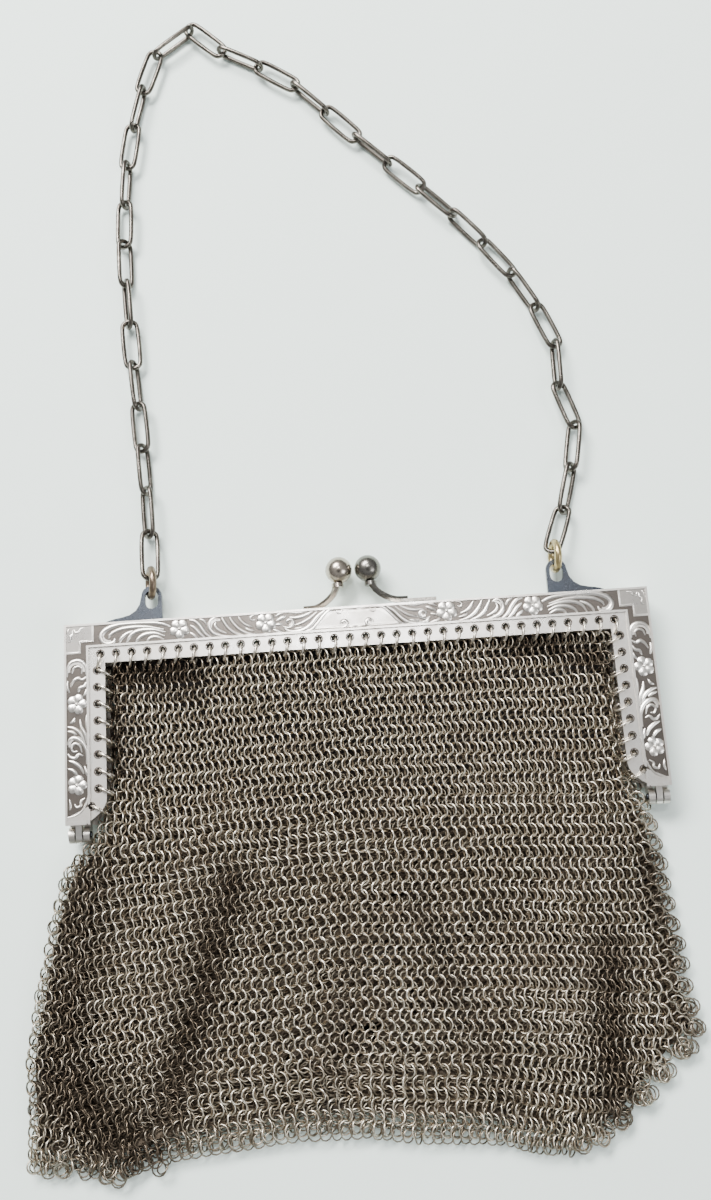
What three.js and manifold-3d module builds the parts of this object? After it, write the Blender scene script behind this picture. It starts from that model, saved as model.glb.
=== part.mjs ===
// A metal mesh purse with a hinged frame, a kiss clasp and a link chain, lying on its back.
// Millimetres, +Z up. Every piece is built round the middle of the frame's top edge: X runs along the top bar,
// +Y points to the chain, and the back of the frame lies at z = 0. The whole is centred on its box at the end.
import * as THREE from 'three';
import { mergeVertices } from 'three/addons/utils/BufferGeometryUtils.js';
import Module from 'manifold-3d';

const wasm = await Module();
wasm.setup();

// Frame: two stamped halves, hinged at the ends of the legs.
const FRAME_WIDTH = 140;
const FRAME_DEPTH = 9;
const LEG_LENGTH = 47.3;
const LEG_SPLAY = 0.013;
const BAND_WIDTH = 5.8;
const FLANGE_WIDTH = 3.8;
const FLANGE_END = 5.8;
const SHEET = 0.8;
const RIM_WALL = 1.0;
const PARTING_GAP = 0.3;
const BORDER_WIDTH = 0.5;
const RELIEF = 0.3;
const FLANGE_STEP = 0.6;

// Holes in the flange, one for each ring that carries the mail.
const HOLE_DIAMETER = 1.6;
const HOLE_LINE = 7.4;
const TOP_HOLES = 34;
const TOP_HOLE_PITCH = 3.73;
const LEG_HOLES = 9;
const LEG_HOLE_MARGIN = 4.08;
const END_HOLE_SHIFT = 1.7;

// Hinges.
const KNUCKLE_DIAMETER = 3.8;
const KNUCKLE_LENGTH = 1.45;
const PIN_DIAMETER = 1.4;
const PIN_HEAD = 0.25;
const CLEARANCE = 0.3;

// Kiss clasp.
const BALL_DIAMETER = 6.6;
const BALL_RISE = 9.9;
const COLLAR_DIAMETER = 2.9;
const COLLAR_LENGTH = 1.0;
const STEM_DIAMETER = 1.7;
const FOOT_LENGTH = 8.5;
const FOOT_WIDTH = 2.6;
const FOOT_THICKNESS = 0.8;
const FOOT_REACH = 19.5;

// Chain lugs and jump rings.
const LUG_INSET = 20.4;
const LUG_HEIGHT = 9.2;
const LUG_WIDTH = 5.0;
const LUG_TAIL = 12.6;
const LUG_THICKNESS = 1.3;
const EYE_WIDTH = 3.2;
const EYE_HEIGHT = 4.6;
const EYE_BAR = 1.1;
const RING_DIAMETER = 8.6;
const RING_WIRE = 1.8;

// Chain.
const LINK_LENGTH = 14.0;
const LINK_WIDTH = 5.2;
const LINK_WIRE = 1.2;

// Bag of mail.
const BAG_DROP = 113.5;
const BAG_WALL = 1.2;
const BAG_COLUMNS = 22;
const BAG_ROWS = 14;

// Colours, as the real pieces show them.
const SILVER = { color: 0xc9c4bc, metalness: 1, roughness: 0.32 };
const WORN_SILVER = { color: 0xb8b2aa, metalness: 1, roughness: 0.38 };
const STEEL = { color: 0x8b8f93, metalness: 1, roughness: 0.35 };
const GUNMETAL = { color: 0x6f6b66, metalness: 1, roughness: 0.4 };
const BRONZE = { color: 0x7d6347, metalness: 1, roughness: 0.45 };
const BRASS = { color: 0xb59a5a, metalness: 1, roughness: 0.4 };
const MAIL = { color: 0x9a9080, metalness: 1, roughness: 0.42 };

// Places and steps that follow from the sizes above.
const FLANGE_LENGTH = LEG_LENGTH - FLANGE_END;
const LEG_HOLE_PITCH = (LEG_LENGTH - LEG_HOLE_MARGIN - HOLE_LINE) / LEG_HOLES;
const LUG_PLACE = FRAME_WIDTH / 2 - LUG_INSET;
const PARTING = FRAME_DEPTH / 2;
const RING_RADIUS = (RING_DIAMETER - RING_WIRE) / 2;
const LINK_PITCH = LINK_LENGTH - 2 * LINK_WIRE - CLEARANCE;
const LINK_HALF = (LINK_WIDTH - LINK_WIRE) / 2;
const LINK_PLAY = CLEARANCE;

// Turns a closed three.js geometry into a solid that can be joined and cut.
function solid(geometry) {
  const bare = geometry.index ? geometry.clone() : geometry;
  bare.deleteAttribute('normal');
  bare.deleteAttribute('uv');
  const merged = mergeVertices(bare, 1e-4);
  return new wasm.Manifold(new wasm.Mesh({
    numProp: 3,
    vertProperties: new Float32Array(merged.attributes.position.array),
    triVerts: new Uint32Array(merged.index.array),
  }));
}

// Turns a solid back into a three.js geometry.
function surface(body) {
  const mesh = body.getMesh();
  const geometry = new THREE.BufferGeometry();
  geometry.setAttribute('position', new THREE.BufferAttribute(new Float32Array(mesh.vertProperties), 3));
  geometry.setIndex(new THREE.BufferAttribute(new Uint32Array(mesh.triVerts), 1));
  return geometry;
}

function join(...geometries) {
  return geometries.map(solid).reduce((whole, next) => whole.add(next));
}

function box(x0, x1, y0, y1, z0, z1) {
  const geometry = new THREE.BoxGeometry(x1 - x0, y1 - y0, z1 - z0);
  return geometry.translate((x0 + x1) / 2, (y0 + y1) / 2, (z0 + z1) / 2);
}

function slab(shape, low, high, curveSegments = 4) {
  const geometry = new THREE.ExtrudeGeometry(shape, { depth: high - low, bevelEnabled: false, curveSegments });
  return geometry.translate(0, 0, low);
}

// A round bar along X, from x0 to x1, centred on y and z.
function bar(diameter, x0, x1, y, z, sides = 12) {
  const geometry = new THREE.CylinderGeometry(diameter / 2, diameter / 2, x1 - x0, sides);
  return geometry.rotateZ(Math.PI / 2).translate((x0 + x1) / 2, y, z);
}

// The value of one column of a table at a place between its rows.
function between(rows, key, column, at) {
  const last = rows.length - 1;
  let row = 0;
  while (row < last - 1 && rows[row + 1][key] < at) row += 1;
  const from = rows[row];
  const to = rows[row + 1];
  const share = THREE.MathUtils.clamp((at - from[key]) / (to[key] - from[key]), 0, 1);
  return THREE.MathUtils.lerp(from[column], to[column], share);
}

// A point of the frame's outline: side is -1 or 1, inset is measured in from the outer edge.
function framePoint(side, inset, down) {
  return [side * (FRAME_WIDTH / 2 + LEG_SPLAY * down - inset), -down];
}

// A U-shaped strip of the frame between two insets.
function strip(outer, inner, legEnd = LEG_LENGTH) {
  const shape = new THREE.Shape();
  shape.moveTo(...framePoint(-1, outer, legEnd));
  shape.lineTo(...framePoint(-1, inner, legEnd));
  shape.lineTo(...framePoint(-1, inner, inner));
  shape.lineTo(...framePoint(1, inner, inner));
  shape.lineTo(...framePoint(1, inner, legEnd));
  shape.lineTo(...framePoint(1, outer, legEnd));
  shape.lineTo(...framePoint(1, outer, outer));
  shape.lineTo(...framePoint(-1, outer, outer));
  return shape;
}

// The perforated strip inside the band. At each leg's end its inner edge sweeps out to the band.
function flangeShape() {
  const inner = BAND_WIDTH + FLANGE_WIDTH;
  const outer = BAND_WIDTH - BORDER_WIDTH;
  const end = LEG_LENGTH - BORDER_WIDTH;
  const turn = (FLANGE_LENGTH + end) / 2;
  const shape = new THREE.Shape();
  shape.moveTo(...framePoint(-1, outer, end));
  shape.quadraticCurveTo(...framePoint(-1, inner, turn), ...framePoint(-1, inner, FLANGE_LENGTH));
  shape.lineTo(...framePoint(-1, inner, inner));
  shape.lineTo(...framePoint(1, inner, inner));
  shape.lineTo(...framePoint(1, inner, FLANGE_LENGTH));
  shape.quadraticCurveTo(...framePoint(1, inner, turn), ...framePoint(1, outer, end));
  shape.lineTo(...framePoint(1, outer, outer));
  shape.lineTo(...framePoint(-1, outer, outer));
  return shape;
}

// Where the holes lie: a row along the top bar, and one down each leg.
function holePlaces() {
  const places = [];
  for (let i = 0; i < TOP_HOLES; i += 1) {
    places.push([(i - (TOP_HOLES - 1) / 2) * TOP_HOLE_PITCH, -HOLE_LINE]);
  }
  for (const side of [-1, 1]) {
    for (let i = 1; i <= LEG_HOLES; i += 1) {
      const shift = i === LEG_HOLES ? END_HOLE_SHIFT : 0;
      places.push(framePoint(side, HOLE_LINE + CLEARANCE - shift, HOLE_LINE + i * LEG_HOLE_PITCH));
    }
  }
  return places;
}

function holes(low, high) {
  return holePlaces().map(([x, y]) => {
    const drill = new THREE.CylinderGeometry(HOLE_DIAMETER / 2, HOLE_DIAMETER / 2, high - low, 6);
    return solid(drill.rotateX(Math.PI / 2).translate(x, y, (low + high) / 2));
  });
}

// Raised ornament on the front band: flowers and C-shaped scrolls, mirrored left to right. Along is a share of the
// way from the middle to the corner, and down a share of the leg. A scroll runs from one angle to another, in turns.
const ORNAMENT = [
  { kind: 'flower', along: 0.309, down: 0, size: 1.9 },
  { kind: 'flower', along: 0.607, down: 0, size: 1.9 },
  { kind: 'scroll', along: 0.228, down: 0, size: 0.9, from: 0.2, to: 0.9 },
  { kind: 'scroll', along: 0.474, down: 0, size: 2.0, from: -0.30, to: 0.25 },
  { kind: 'scroll', along: 0.845, down: 0, size: 2.0, from: -0.28, to: 0.28 },
  { kind: 'flower', along: 0, down: 0.400, size: 1.9 },
  { kind: 'flower', along: 0, down: 0.796, size: 1.9 },
  { kind: 'scroll', along: 0, down: 0.237, size: 2.0, from: -0.28, to: 0.28 },
  { kind: 'scroll', along: 0, down: 0.610, size: 2.0, from: -0.28, to: 0.28 },
];
const CARTOUCHE_LENGTH = 21;
const CARTOUCHE_SLANT = 3.8;
const CORNER_REACH = 7.1;
const CORNER_STEP = 4.5;
const CORNER_NECK = 4.0;
const SCROLL_WIDTH = 0.5;

// A flower of five petals, as one outline.
function flowerShape(radius) {
  const shape = new THREE.Shape();
  for (let i = 0; i < 10; i += 1) {
    const reach = i % 2 ? radius * 0.5 : radius;
    const angle = (i * Math.PI) / 5;
    const point = [reach * Math.sin(angle), reach * Math.cos(angle)];
    if (i === 0) shape.moveTo(...point);
    else shape.lineTo(...point);
  }
  return shape;
}

// A scroll is a C-shaped band along an arc.
function scrollShape(radius, from, to) {
  const shape = new THREE.Shape();
  shape.absarc(0, 0, radius, from * 2 * Math.PI, to * 2 * Math.PI, false);
  shape.absarc(0, 0, radius - SCROLL_WIDTH, to * 2 * Math.PI, from * 2 * Math.PI, true);
  return shape;
}

// A trapezoid with a window, for the plain panel in the middle of the top bar. Its ends sweep out downwards.
function panelShape(width, height, line) {
  const shape = new THREE.Shape();
  const window = new THREE.Path();
  const trace = (path, w, h) => {
    path.moveTo(-w, -h);
    path.lineTo(w, -h);
    path.lineTo(w - CARTOUCHE_SLANT, h);
    path.lineTo(CARTOUCHE_SLANT - w, h);
  };
  trace(shape, width / 2, height / 2);
  trace(window, width / 2 - 2 * line, height / 2 - line);
  shape.holes.push(window);
  return shape;
}

// The stepped line that frames each corner of the band: a wide part at the top, a narrow part down the leg.
function cornerShape(side) {
  const line = BORDER_WIDTH;
  const points = [
    [CORNER_REACH, line], [CORNER_REACH, CORNER_STEP], [CORNER_NECK, CORNER_STEP], [CORNER_NECK, CORNER_REACH],
    [line, CORNER_REACH], [line, CORNER_REACH - line], [CORNER_NECK - line, CORNER_REACH - line],
    [CORNER_NECK - line, CORNER_STEP - line], [CORNER_REACH - line, CORNER_STEP - line], [CORNER_REACH - line, line],
  ];
  const shape = new THREE.Shape();
  points.forEach(([inset, down], i) => {
    const point = framePoint(side, inset, down);
    if (i === 0) shape.moveTo(...point);
    else shape.lineTo(...point);
  });
  return shape;
}

function ornament(low, high) {
  const middle = -BAND_WIDTH / 2;
  const bodies = [slab(panelShape(CARTOUCHE_LENGTH, BAND_WIDTH - 4 * BORDER_WIDTH, BORDER_WIDTH), low, high)
    .translate(0, middle, 0)];
  for (const side of [-1, 1]) {
    bodies.push(slab(cornerShape(side), low, high));
    for (const row of ORNAMENT) {
      const shape = row.kind === 'flower' ? flowerShape(row.size) : scrollShape(row.size, row.from, row.to);
      const body = slab(shape, low, high, 8);
      if (row.down > 0) {
        const [x, y] = framePoint(side, BAND_WIDTH / 2, row.down * LEG_LENGTH);
        bodies.push(body.rotateZ(Math.PI / 2).translate(x, y, 0));
      } else {
        if (side < 0) body.rotateZ(Math.PI);
        bodies.push(body.translate((side * row.along * FRAME_WIDTH) / 2, middle, 0));
      }
    }
  }
  return bodies.map(solid);
}

// One half of the frame, from the parting plane (z = 0 here) out to its face.
// The rim and the leg ends turn back to the parting plane, and the hinge knuckles grow from the leg ends.
function frameHalf(decorated, knuckles) {
  const face = PARTING;
  const ground = face - RELIEF;
  const back = ground - SHEET;
  const parting = PARTING_GAP / 2;
  let half = join(
    slab(strip(0, BAND_WIDTH), back, ground),
    slab(strip(0, BORDER_WIDTH), back, face),
    slab(strip(BAND_WIDTH - BORDER_WIDTH, BAND_WIDTH), back, face),
    slab(strip(0, RIM_WALL), parting, ground),
    slab(flangeShape(), face - FLANGE_STEP - SHEET, face - FLANGE_STEP, 5),
  );
  for (const body of holes(0, face)) half = half.subtract(body);
  if (decorated) for (const body of ornament(back, ground + RELIEF / 2)) half = half.add(body);
  for (const side of [-1, 1]) {
    const [outer, end] = framePoint(side, 0, LEG_LENGTH);
    const inner = outer - side * hingeLength();
    const low = Math.min(inner, outer);
    half = half.add(solid(box(low, low + hingeLength(), end, end + RIM_WALL, parting, face)));
    for (const index of knuckles) {
      const x = low + index * (KNUCKLE_LENGTH + CLEARANCE);
      const axis = end - hingeDrop();
      const barrel = solid(bar(KNUCKLE_DIAMETER, x, x + KNUCKLE_LENGTH, axis, 0));
      const arm = solid(box(x, x + KNUCKLE_LENGTH, axis, end + RIM_WALL / 2, parting, KNUCKLE_DIAMETER / 2));
      const bore = solid(bar(PIN_DIAMETER + 2 * CLEARANCE, x - 1, x + KNUCKLE_LENGTH + 1, axis, 0));
      half = half.add(barrel.add(arm).subtract(bore));
    }
  }
  return surface(half);
}

function hingeLength() {
  return 3 * KNUCKLE_LENGTH + 2 * CLEARANCE;
}

// How far below the leg's end the hinge's axis lies.
function hingeDrop() {
  return KNUCKLE_DIAMETER / 2 + CLEARANCE + 0.05;
}

function hingePin(side) {
  const [outer, end] = framePoint(side, 0, LEG_LENGTH);
  const low = Math.min(outer, outer - side * hingeLength());
  return bar(PIN_DIAMETER, low - PIN_HEAD, low + hingeLength() + PIN_HEAD, end - hingeDrop(), PARTING);
}

// One arm of the clasp. Its foot lies on the rim of one half, and its stem bends up to the ball.
function claspArm(side, ballPlace) {
  const seat = CLEARANCE;
  const footTop = seat + FOOT_THICKNESS;
  const rimMiddle = PARTING + side * (PARTING / 2 + PARTING_GAP / 4);
  const foot = box(FOOT_REACH - FOOT_LENGTH, FOOT_REACH, seat, footTop, -FOOT_WIDTH / 2, FOOT_WIDTH / 2);
  foot.translate(0, 0, rimMiddle);
  const neck = BALL_RISE - BALL_DIAMETER / 2 - COLLAR_LENGTH;
  const lean = COLLAR_DIAMETER / 3;
  const curve = new THREE.CatmullRomCurve3([
    new THREE.Vector3(FOOT_REACH - FOOT_LENGTH + STEM_DIAMETER, seat + STEM_DIAMETER / 2, rimMiddle),
    new THREE.Vector3(FOOT_REACH - FOOT_LENGTH - STEM_DIAMETER, seat + 0.65 * STEM_DIAMETER, rimMiddle),
    new THREE.Vector3(ballPlace + 2 * lean, neck - STEM_DIAMETER, (rimMiddle + PARTING) / 2),
    new THREE.Vector3(ballPlace + lean / 2, neck + COLLAR_LENGTH, PARTING),
  ]);
  const ring = new THREE.Shape();
  ring.absarc(0, 0, STEM_DIAMETER / 2, 0, 2 * Math.PI, false);
  const stem = new THREE.ExtrudeGeometry(ring, { extrudePath: curve, steps: 8, bevelEnabled: false, curveSegments: 3 });
  const collar = new THREE.CylinderGeometry(COLLAR_DIAMETER / 2, COLLAR_DIAMETER / 2, COLLAR_LENGTH, 12);
  collar.translate(ballPlace + lean / 2, neck + COLLAR_LENGTH / 2, PARTING);
  const ball = new THREE.SphereGeometry(BALL_DIAMETER / 2, 14, 10).translate(ballPlace, BALL_RISE, PARTING);
  return join(foot, stem, collar, ball);
}

// A flat fin with an eye near its high end, standing on the rim of the back half. Its tail points outwards.
function chainLug() {
  const half = LUG_WIDTH / 2;
  const base = CLEARANCE;
  const shape = new THREE.Shape();
  shape.moveTo(-half, base);
  shape.lineTo(LUG_TAIL, base);
  shape.quadraticCurveTo(LUG_TAIL - 2, base + 1.2, LUG_TAIL - 5, base + 1.5);
  shape.quadraticCurveTo(half + 0.4, base + 2, half, LUG_HEIGHT - half);
  shape.absarc(0, LUG_HEIGHT - half, half, 0, Math.PI, false);
  const eye = new THREE.Path();
  const top = LUG_HEIGHT - EYE_BAR - EYE_WIDTH / 2;
  const bottom = top - EYE_HEIGHT + EYE_WIDTH;
  eye.absarc(0, top, EYE_WIDTH / 2, 0, Math.PI, false);
  eye.absarc(0, bottom, EYE_WIDTH / 2, Math.PI, 2 * Math.PI, false);
  shape.holes.push(eye);
  return slab(shape, lugMiddle() - LUG_THICKNESS / 2, lugMiddle() + LUG_THICKNESS / 2);
}

// A ring in the YZ plane that hangs in the lug's eye, turned a little about the chain's direction.
function jumpRing(turn) {
  const ring = new THREE.TorusGeometry(RING_RADIUS, RING_WIRE / 2, 6, 16);
  ring.rotateY(Math.PI / 2 + THREE.MathUtils.degToRad(turn));
  return ring.translate(0, ringRise(), RING_DIAMETER / 2);
}

// How far the ring's middle lies beyond the frame: its wire hangs just under the bar above the lug's eye.
function ringRise() {
  const off = RING_DIAMETER / 2 - lugMiddle();
  return LUG_HEIGHT - EYE_BAR - 2 * CLEARANCE - RING_WIRE / 2 + Math.sqrt(RING_RADIUS ** 2 - off ** 2);
}

// Where the chain's first and last joints lie: a link hangs just inside the ring's far side.
function ringJoint() {
  return ringRise() + RING_RADIUS - RING_WIRE / 2 - CLEARANCE / 2;
}

function lugMiddle() {
  return PARTING - PARTING_GAP - LUG_THICKNESS / 2;
}

// An oval link along X, flat in the XY plane: a round ring pulled apart into two bends and two straight sides.
function oval() {
  const bends = 12;
  const step = Math.PI / bends;
  const ring = new THREE.TorusGeometry(LINK_HALF / Math.cos(step), LINK_WIRE / 2, 5, bends).rotateZ(step);
  const place = ring.attributes.position;
  const pull = LINK_LENGTH / 2 - LINK_WIRE / 2 - LINK_HALF;
  for (let i = 0; i < place.count; i += 1) {
    place.setX(i, place.getX(i) + Math.sign(place.getX(i)) * pull);
  }
  return ring;
}

// How high the chain's axis runs: the links that stand on edge rest on the ground and carry the flat ones.
const CHAIN_HEIGHT = LINK_WIRE / 2 + LINK_HALF;

// The route of the chain from ring to ring, chosen by hand. The links are laid along a smooth line through it.
// Across is a share of the lugs' place, and up a share of the chain's reach.
const CHAIN_REACH = 160;
const ROUTE = [
  { across: -1.002, up: 0 },
  { across: -1.006, up: 0.150 },
  { across: -1.028, up: 0.294 },
  { across: -1.067, up: 0.469 },
  { across: -1.083, up: 0.594 },
  { across: -1.069, up: 0.725 },
  { across: -1.026, up: 0.825 },
  { across: -0.952, up: 0.912 },
  { across: -0.885, up: 0.969 },
  { across: -0.827, up: 1.006 },
  { across: -0.774, up: 1.029 },
  { across: -0.698, up: 1.021 },
  { across: -0.609, up: 0.990 },
  { across: -0.415, up: 0.951 },
  { across: -0.214, up: 0.918 },
  { across: 0.181, up: 0.794 },
  { across: 0.649, up: 0.647 },
  { across: 0.929, up: 0.537 },
  { across: 1.056, up: 0.463 },
  { across: 1.133, up: 0.391 },
  { across: 1.121, up: 0.350 },
  { across: 1.109, up: 0.322 },
  { across: 1.173, up: 0.281 },
  { across: 1.157, up: 0.237 },
  { across: 1.107, up: 0.177 },
  { across: 1.054, up: 0.122 },
  { across: 0.994, up: 0 },
];
const LINK_COUNT = 31;

// Each link is rolled a quarter turn against the one before it, and the whole chain is twisted a little more
// along its way: extra is that twist in degrees.
const TWISTS = [
  { link: 1, extra: 20 },
  { link: 3, extra: 60 },
  { link: 5, extra: 72 },
  { link: 9, extra: 160 },
  { link: 13, extra: 180 },
  { link: 17, extra: 180 },
  { link: 20, extra: 190 },
  { link: 23, extra: 246 },
  { link: 27, extra: 256 },
  { link: 31, extra: 205 },
  { link: 33, extra: 180 },
];

// How far a link is rolled about its own line, in degrees.
function rollOf(index) {
  return 90 * index + between(TWISTS, 'link', 'extra', index + 1);
}

// How far the joint after a link is shifted back along it. Where the chain turns, a flat link turns about the end of
// the next link, which stands on edge, so a joint lies in the end of the standing link, inside that of the flat one.
function shiftAfter(index) {
  const flatness = (link) => Math.cos(THREE.MathUtils.degToRad(2 * rollOf(link)));
  return ((LINK_WIRE + CLEARANCE) * (flatness(index) - flatness(index + 1))) / 4;
}

function reachOf(index) {
  return LINK_PITCH + shiftAfter(index - 1) - shiftAfter(index);
}

// Joints on the line, each one reach from the last in a straight line, less the slack that is left in each link.
function jointsAt(fine, slack) {
  const found = [fine[0]];
  for (let next = 1; next < fine.length; next += 1) {
    const from = found[found.length - 1];
    const reach = reachOf(found.length - 1) - slack;
    if (fine[next].distanceTo(from) < reach) continue;
    const before = fine[next - 1].distanceTo(from);
    const after = fine[next].distanceTo(from);
    found.push(fine[next - 1].clone().lerp(fine[next], (reach - before) / (after - before)));
  }
  return found;
}

// The slack grows from none until all the links fit on the line.
function joints(count) {
  const curve = new THREE.CatmullRomCurve3(ROUTE.map(({ across, up }, i) => {
    if (i === 0 || i === ROUTE.length - 1) return new THREE.Vector3(across * LUG_PLACE, ringJoint(), RING_DIAMETER / 2);
    return new THREE.Vector3(across * LUG_PLACE, up * CHAIN_REACH, CHAIN_HEIGHT);
  }));
  const fine = curve.getPoints(4000);
  let slack = -CLEARANCE;
  let found = jointsAt(fine, slack);
  while (found.length <= count) {
    slack += 0.002;
    found = jointsAt(fine, slack);
  }
  return found;
}

function layLinks() {
  const places = joints(LINK_COUNT);
  return places.slice(1, LINK_COUNT + 1).map((to, i) => {
    const from = places[i];
    const along = to.clone().sub(from).normalize();
    const across = new THREE.Vector3(0, 0, 1).cross(along).normalize();
    const basis = new THREE.Matrix4().makeBasis(along, across, along.clone().cross(across));
    const roll = THREE.MathUtils.degToRad(rollOf(i));
    const half = (reachOf(i) + shiftAfter(i - 1) + shiftAfter(i)) / 2;
    const place = from.clone().lerp(to, half / reachOf(i));
    place.z -= LINK_PLAY * Math.abs(Math.cos(roll));
    return { number: i + 1, place, turn: basis.multiply(new THREE.Matrix4().makeRotationX(roll)) };
  });
}

// The outline of the lying bag: left and right are shares of half the frame's width, and past is how far below the
// legs' end a place lies, as a share of the way from there to the hem.
const SIDES = [
  { past: -0.089, left: -0.853, right: 0.853 },
  { past: -0.029, left: -0.880, right: 0.872 },
  { past: 0.031, left: -0.925, right: 0.925 },
  { past: 0.075, left: -0.940, right: 0.945 },
  { past: 0.120, left: -1.030, right: 0.955 },
  { past: 0.284, left: -1.083, right: 0.970 },
  { past: 0.448, left: -1.122, right: 0.992 },
  { past: 0.582, left: -1.150, right: 1.000 },
  { past: 0.717, left: -1.176, right: 1.036 },
  { past: 0.851, left: -1.160, right: 1.042 },
  { past: 1.000, left: -1.172, right: 1.046 },
];

// Where the hem lies below the mouth: across runs from the left edge to the right, drop is a share of the bag's drop.
const HEM = [
  { across: 0.00, drop: 1.000 },
  { across: 0.04, drop: 1.002 },
  { across: 0.09, drop: 1.034 },
  { across: 0.15, drop: 1.016 },
  { across: 0.21, drop: 0.986 },
  { across: 0.33, drop: 0.976 },
  { across: 0.44, drop: 0.962 },
  { across: 0.54, drop: 0.980 },
  { across: 0.65, drop: 0.990 },
  { across: 0.75, drop: 1.020 },
  { across: 0.82, drop: 1.034 },
  { across: 0.87, drop: 1.000 },
  { across: 0.92, drop: 0.925 },
  { across: 0.96, drop: 0.872 },
  { across: 1.00, drop: 0.838 },
];

// The heights of the front and back sheets, as shares of the frame's depth.
const BODY = [
  { down: 0.00, front: 0.88, back: 0.10 },
  { down: 0.10, front: 0.84, back: 0.03 },
  { down: 0.22, front: 0.78, back: 0.00 },
  { down: 0.40, front: 0.66, back: 0.00 },
  { down: 0.60, front: 0.54, back: 0.00 },
  { down: 0.85, front: 0.46, back: 0.00 },
  { down: 1.00, front: 0.38, back: 0.00 },
];

// Soft folds of the front sheet: ridges and dents from one place to another, as shares across and down,
// with their half width as a share of the bag's drop and their height as a share of the frame's depth.
const FOLDS = [
  { across: 0.80, down: 1.02, toAcross: 1.00, toDown: 0.80, width: 0.050, height: 0.13 },
  { across: 0.86, down: 0.30, toAcross: 0.90, toDown: 0.80, width: 0.040, height: 0.08 },
  { across: 0.80, down: 0.35, toAcross: 0.82, toDown: 0.85, width: 0.040, height: -0.07 },
  { across: 0.60, down: 0.45, toAcross: 0.56, toDown: 1.00, width: 0.060, height: -0.06 },
  { across: 0.33, down: 0.20, toAcross: 0.28, toDown: 0.95, width: 0.060, height: 0.05 },
  { across: 0.13, down: 0.30, toAcross: 0.10, toDown: 0.90, width: 0.050, height: -0.06 },
  { across: 0.00, down: 0.86, toAcross: 0.07, toDown: 1.00, width: 0.035, height: 0.12 },
];

// How much one fold lifts or dents the sheet at a place.
function foldHeight(fold, across, down) {
  const wide = FRAME_WIDTH / BAG_DROP;
  const start = new THREE.Vector3(fold.across * wide, fold.down, 0);
  const end = new THREE.Vector3(fold.toAcross * wide, fold.toDown, 0);
  const place = new THREE.Vector3(across * wide, down, 0);
  const nearest = new THREE.Line3(start, end).closestPointToPoint(place, true, new THREE.Vector3());
  const away = nearest.distanceTo(place) / fold.width;
  return fold.height * Math.exp(-away * away);
}

// A point of the bag: across and down run 0 to 1 over the sheet, through 0 (back) to 1 (front), inset is a wall.
function bagPoint(across, down, through, inset) {
  const mouth = BAND_WIDTH + FLANGE_WIDTH + CLEARANCE;
  const drop = between(HEM, 'across', 'drop', across) * BAG_DROP - inset;
  const below = down * drop;
  const share = below / BAG_DROP;
  const half = FRAME_WIDTH / 2;
  const legs = LEG_LENGTH - mouth;
  const past = (below - legs) / (BAG_DROP - legs);
  const left = between(SIDES, 'past', 'left', past) * half + inset;
  const right = between(SIDES, 'past', 'right', past) * half - inset;
  const soft = (across > 0.01 && across < 0.99 && down < 0.99) ? 1 : 0;
  const folds = FOLDS.reduce((sum, fold) => sum + foldHeight(fold, across, down), 0) * soft;
  const front = (between(BODY, 'down', 'front', down) + folds) * FRAME_DEPTH - inset;
  const back = between(BODY, 'down', 'back', down) * FRAME_DEPTH + inset;
  return [
    THREE.MathUtils.lerp(left, right, across),
    -mouth - below,
    THREE.MathUtils.lerp(back, front, through),
  ];
}

// A closed soft box over the whole sheet. Its side and hem edges are rounded by drawing the faces in a little.
function bagSolid(inset, reach) {
  const geometry = new THREE.BoxGeometry(1, 1, 1, BAG_COLUMNS, BAG_ROWS, 2);
  const place = geometry.attributes.position;
  const round = 0.35;
  for (let i = 0; i < place.count; i += 1) {
    const across = place.getX(i) + 0.5;
    const down = 0.5 - place.getY(i);
    const through = place.getZ(i) + 0.5;
    const point = bagPoint(across, down, through, inset);
    const onFace = through < 0.1 || through > 0.9;
    if (onFace && across < 0.01) point[0] += round * BAG_WALL;
    if (onFace && across > 0.99) point[0] -= round * BAG_WALL;
    if (onFace && down > 0.99) point[1] += round * BAG_WALL;
    if (down < 0.01) point[1] += reach;
    place.setXYZ(i, ...point);
  }
  return solid(geometry);
}

function meshBag() {
  return surface(bagSolid(0, 0).subtract(bagSolid(BAG_WALL, BAG_WALL)));
}

// Puts the pieces together.
const purse = new THREE.Group();

function add(name, geometry, look, side = 1) {
  const mesh = new THREE.Mesh(geometry, new THREE.MeshStandardMaterial(look));
  mesh.name = name;
  if (side < 0) mesh.rotation.y = Math.PI;
  purse.add(mesh);
  return mesh;
}

add('frame_front', frameHalf(true, [1]), SILVER).position.z = PARTING;
add('frame_back', frameHalf(false, [0, 2]), WORN_SILVER, -1).position.z = PARTING;
for (const [name, side] of [['left', -1], ['right', 1]]) add(`hinge_pin_${name}`, hingePin(side), STEEL);

add('clasp_right', surface(claspArm(1, 3.55)), STEEL);
const claspLeft = add('clasp_left', surface(claspArm(1, 3.55)), SILVER, -1);
claspLeft.position.z = FRAME_DEPTH;

for (const [name, side, turn, look] of [['left', -1, 18, BRONZE], ['right', 1, 5, BRASS]]) {
  const lug = add(`chain_lug_${name}`, chainLug(), STEEL, side);
  lug.position.set(side * LUG_PLACE, 0, side < 0 ? 2 * lugMiddle() : 0);
  add(`jump_ring_${name}`, jumpRing(turn), look).position.x = side * LUG_PLACE;
}

const links = layLinks();
for (const { number, place, turn } of links) {
  const link = add(`chain_link_${String(number).padStart(2, '0')}`, oval(), GUNMETAL);
  link.position.copy(place);
  link.quaternion.setFromRotationMatrix(turn);
}

add('mesh_bag', meshBag(), MAIL);

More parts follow.
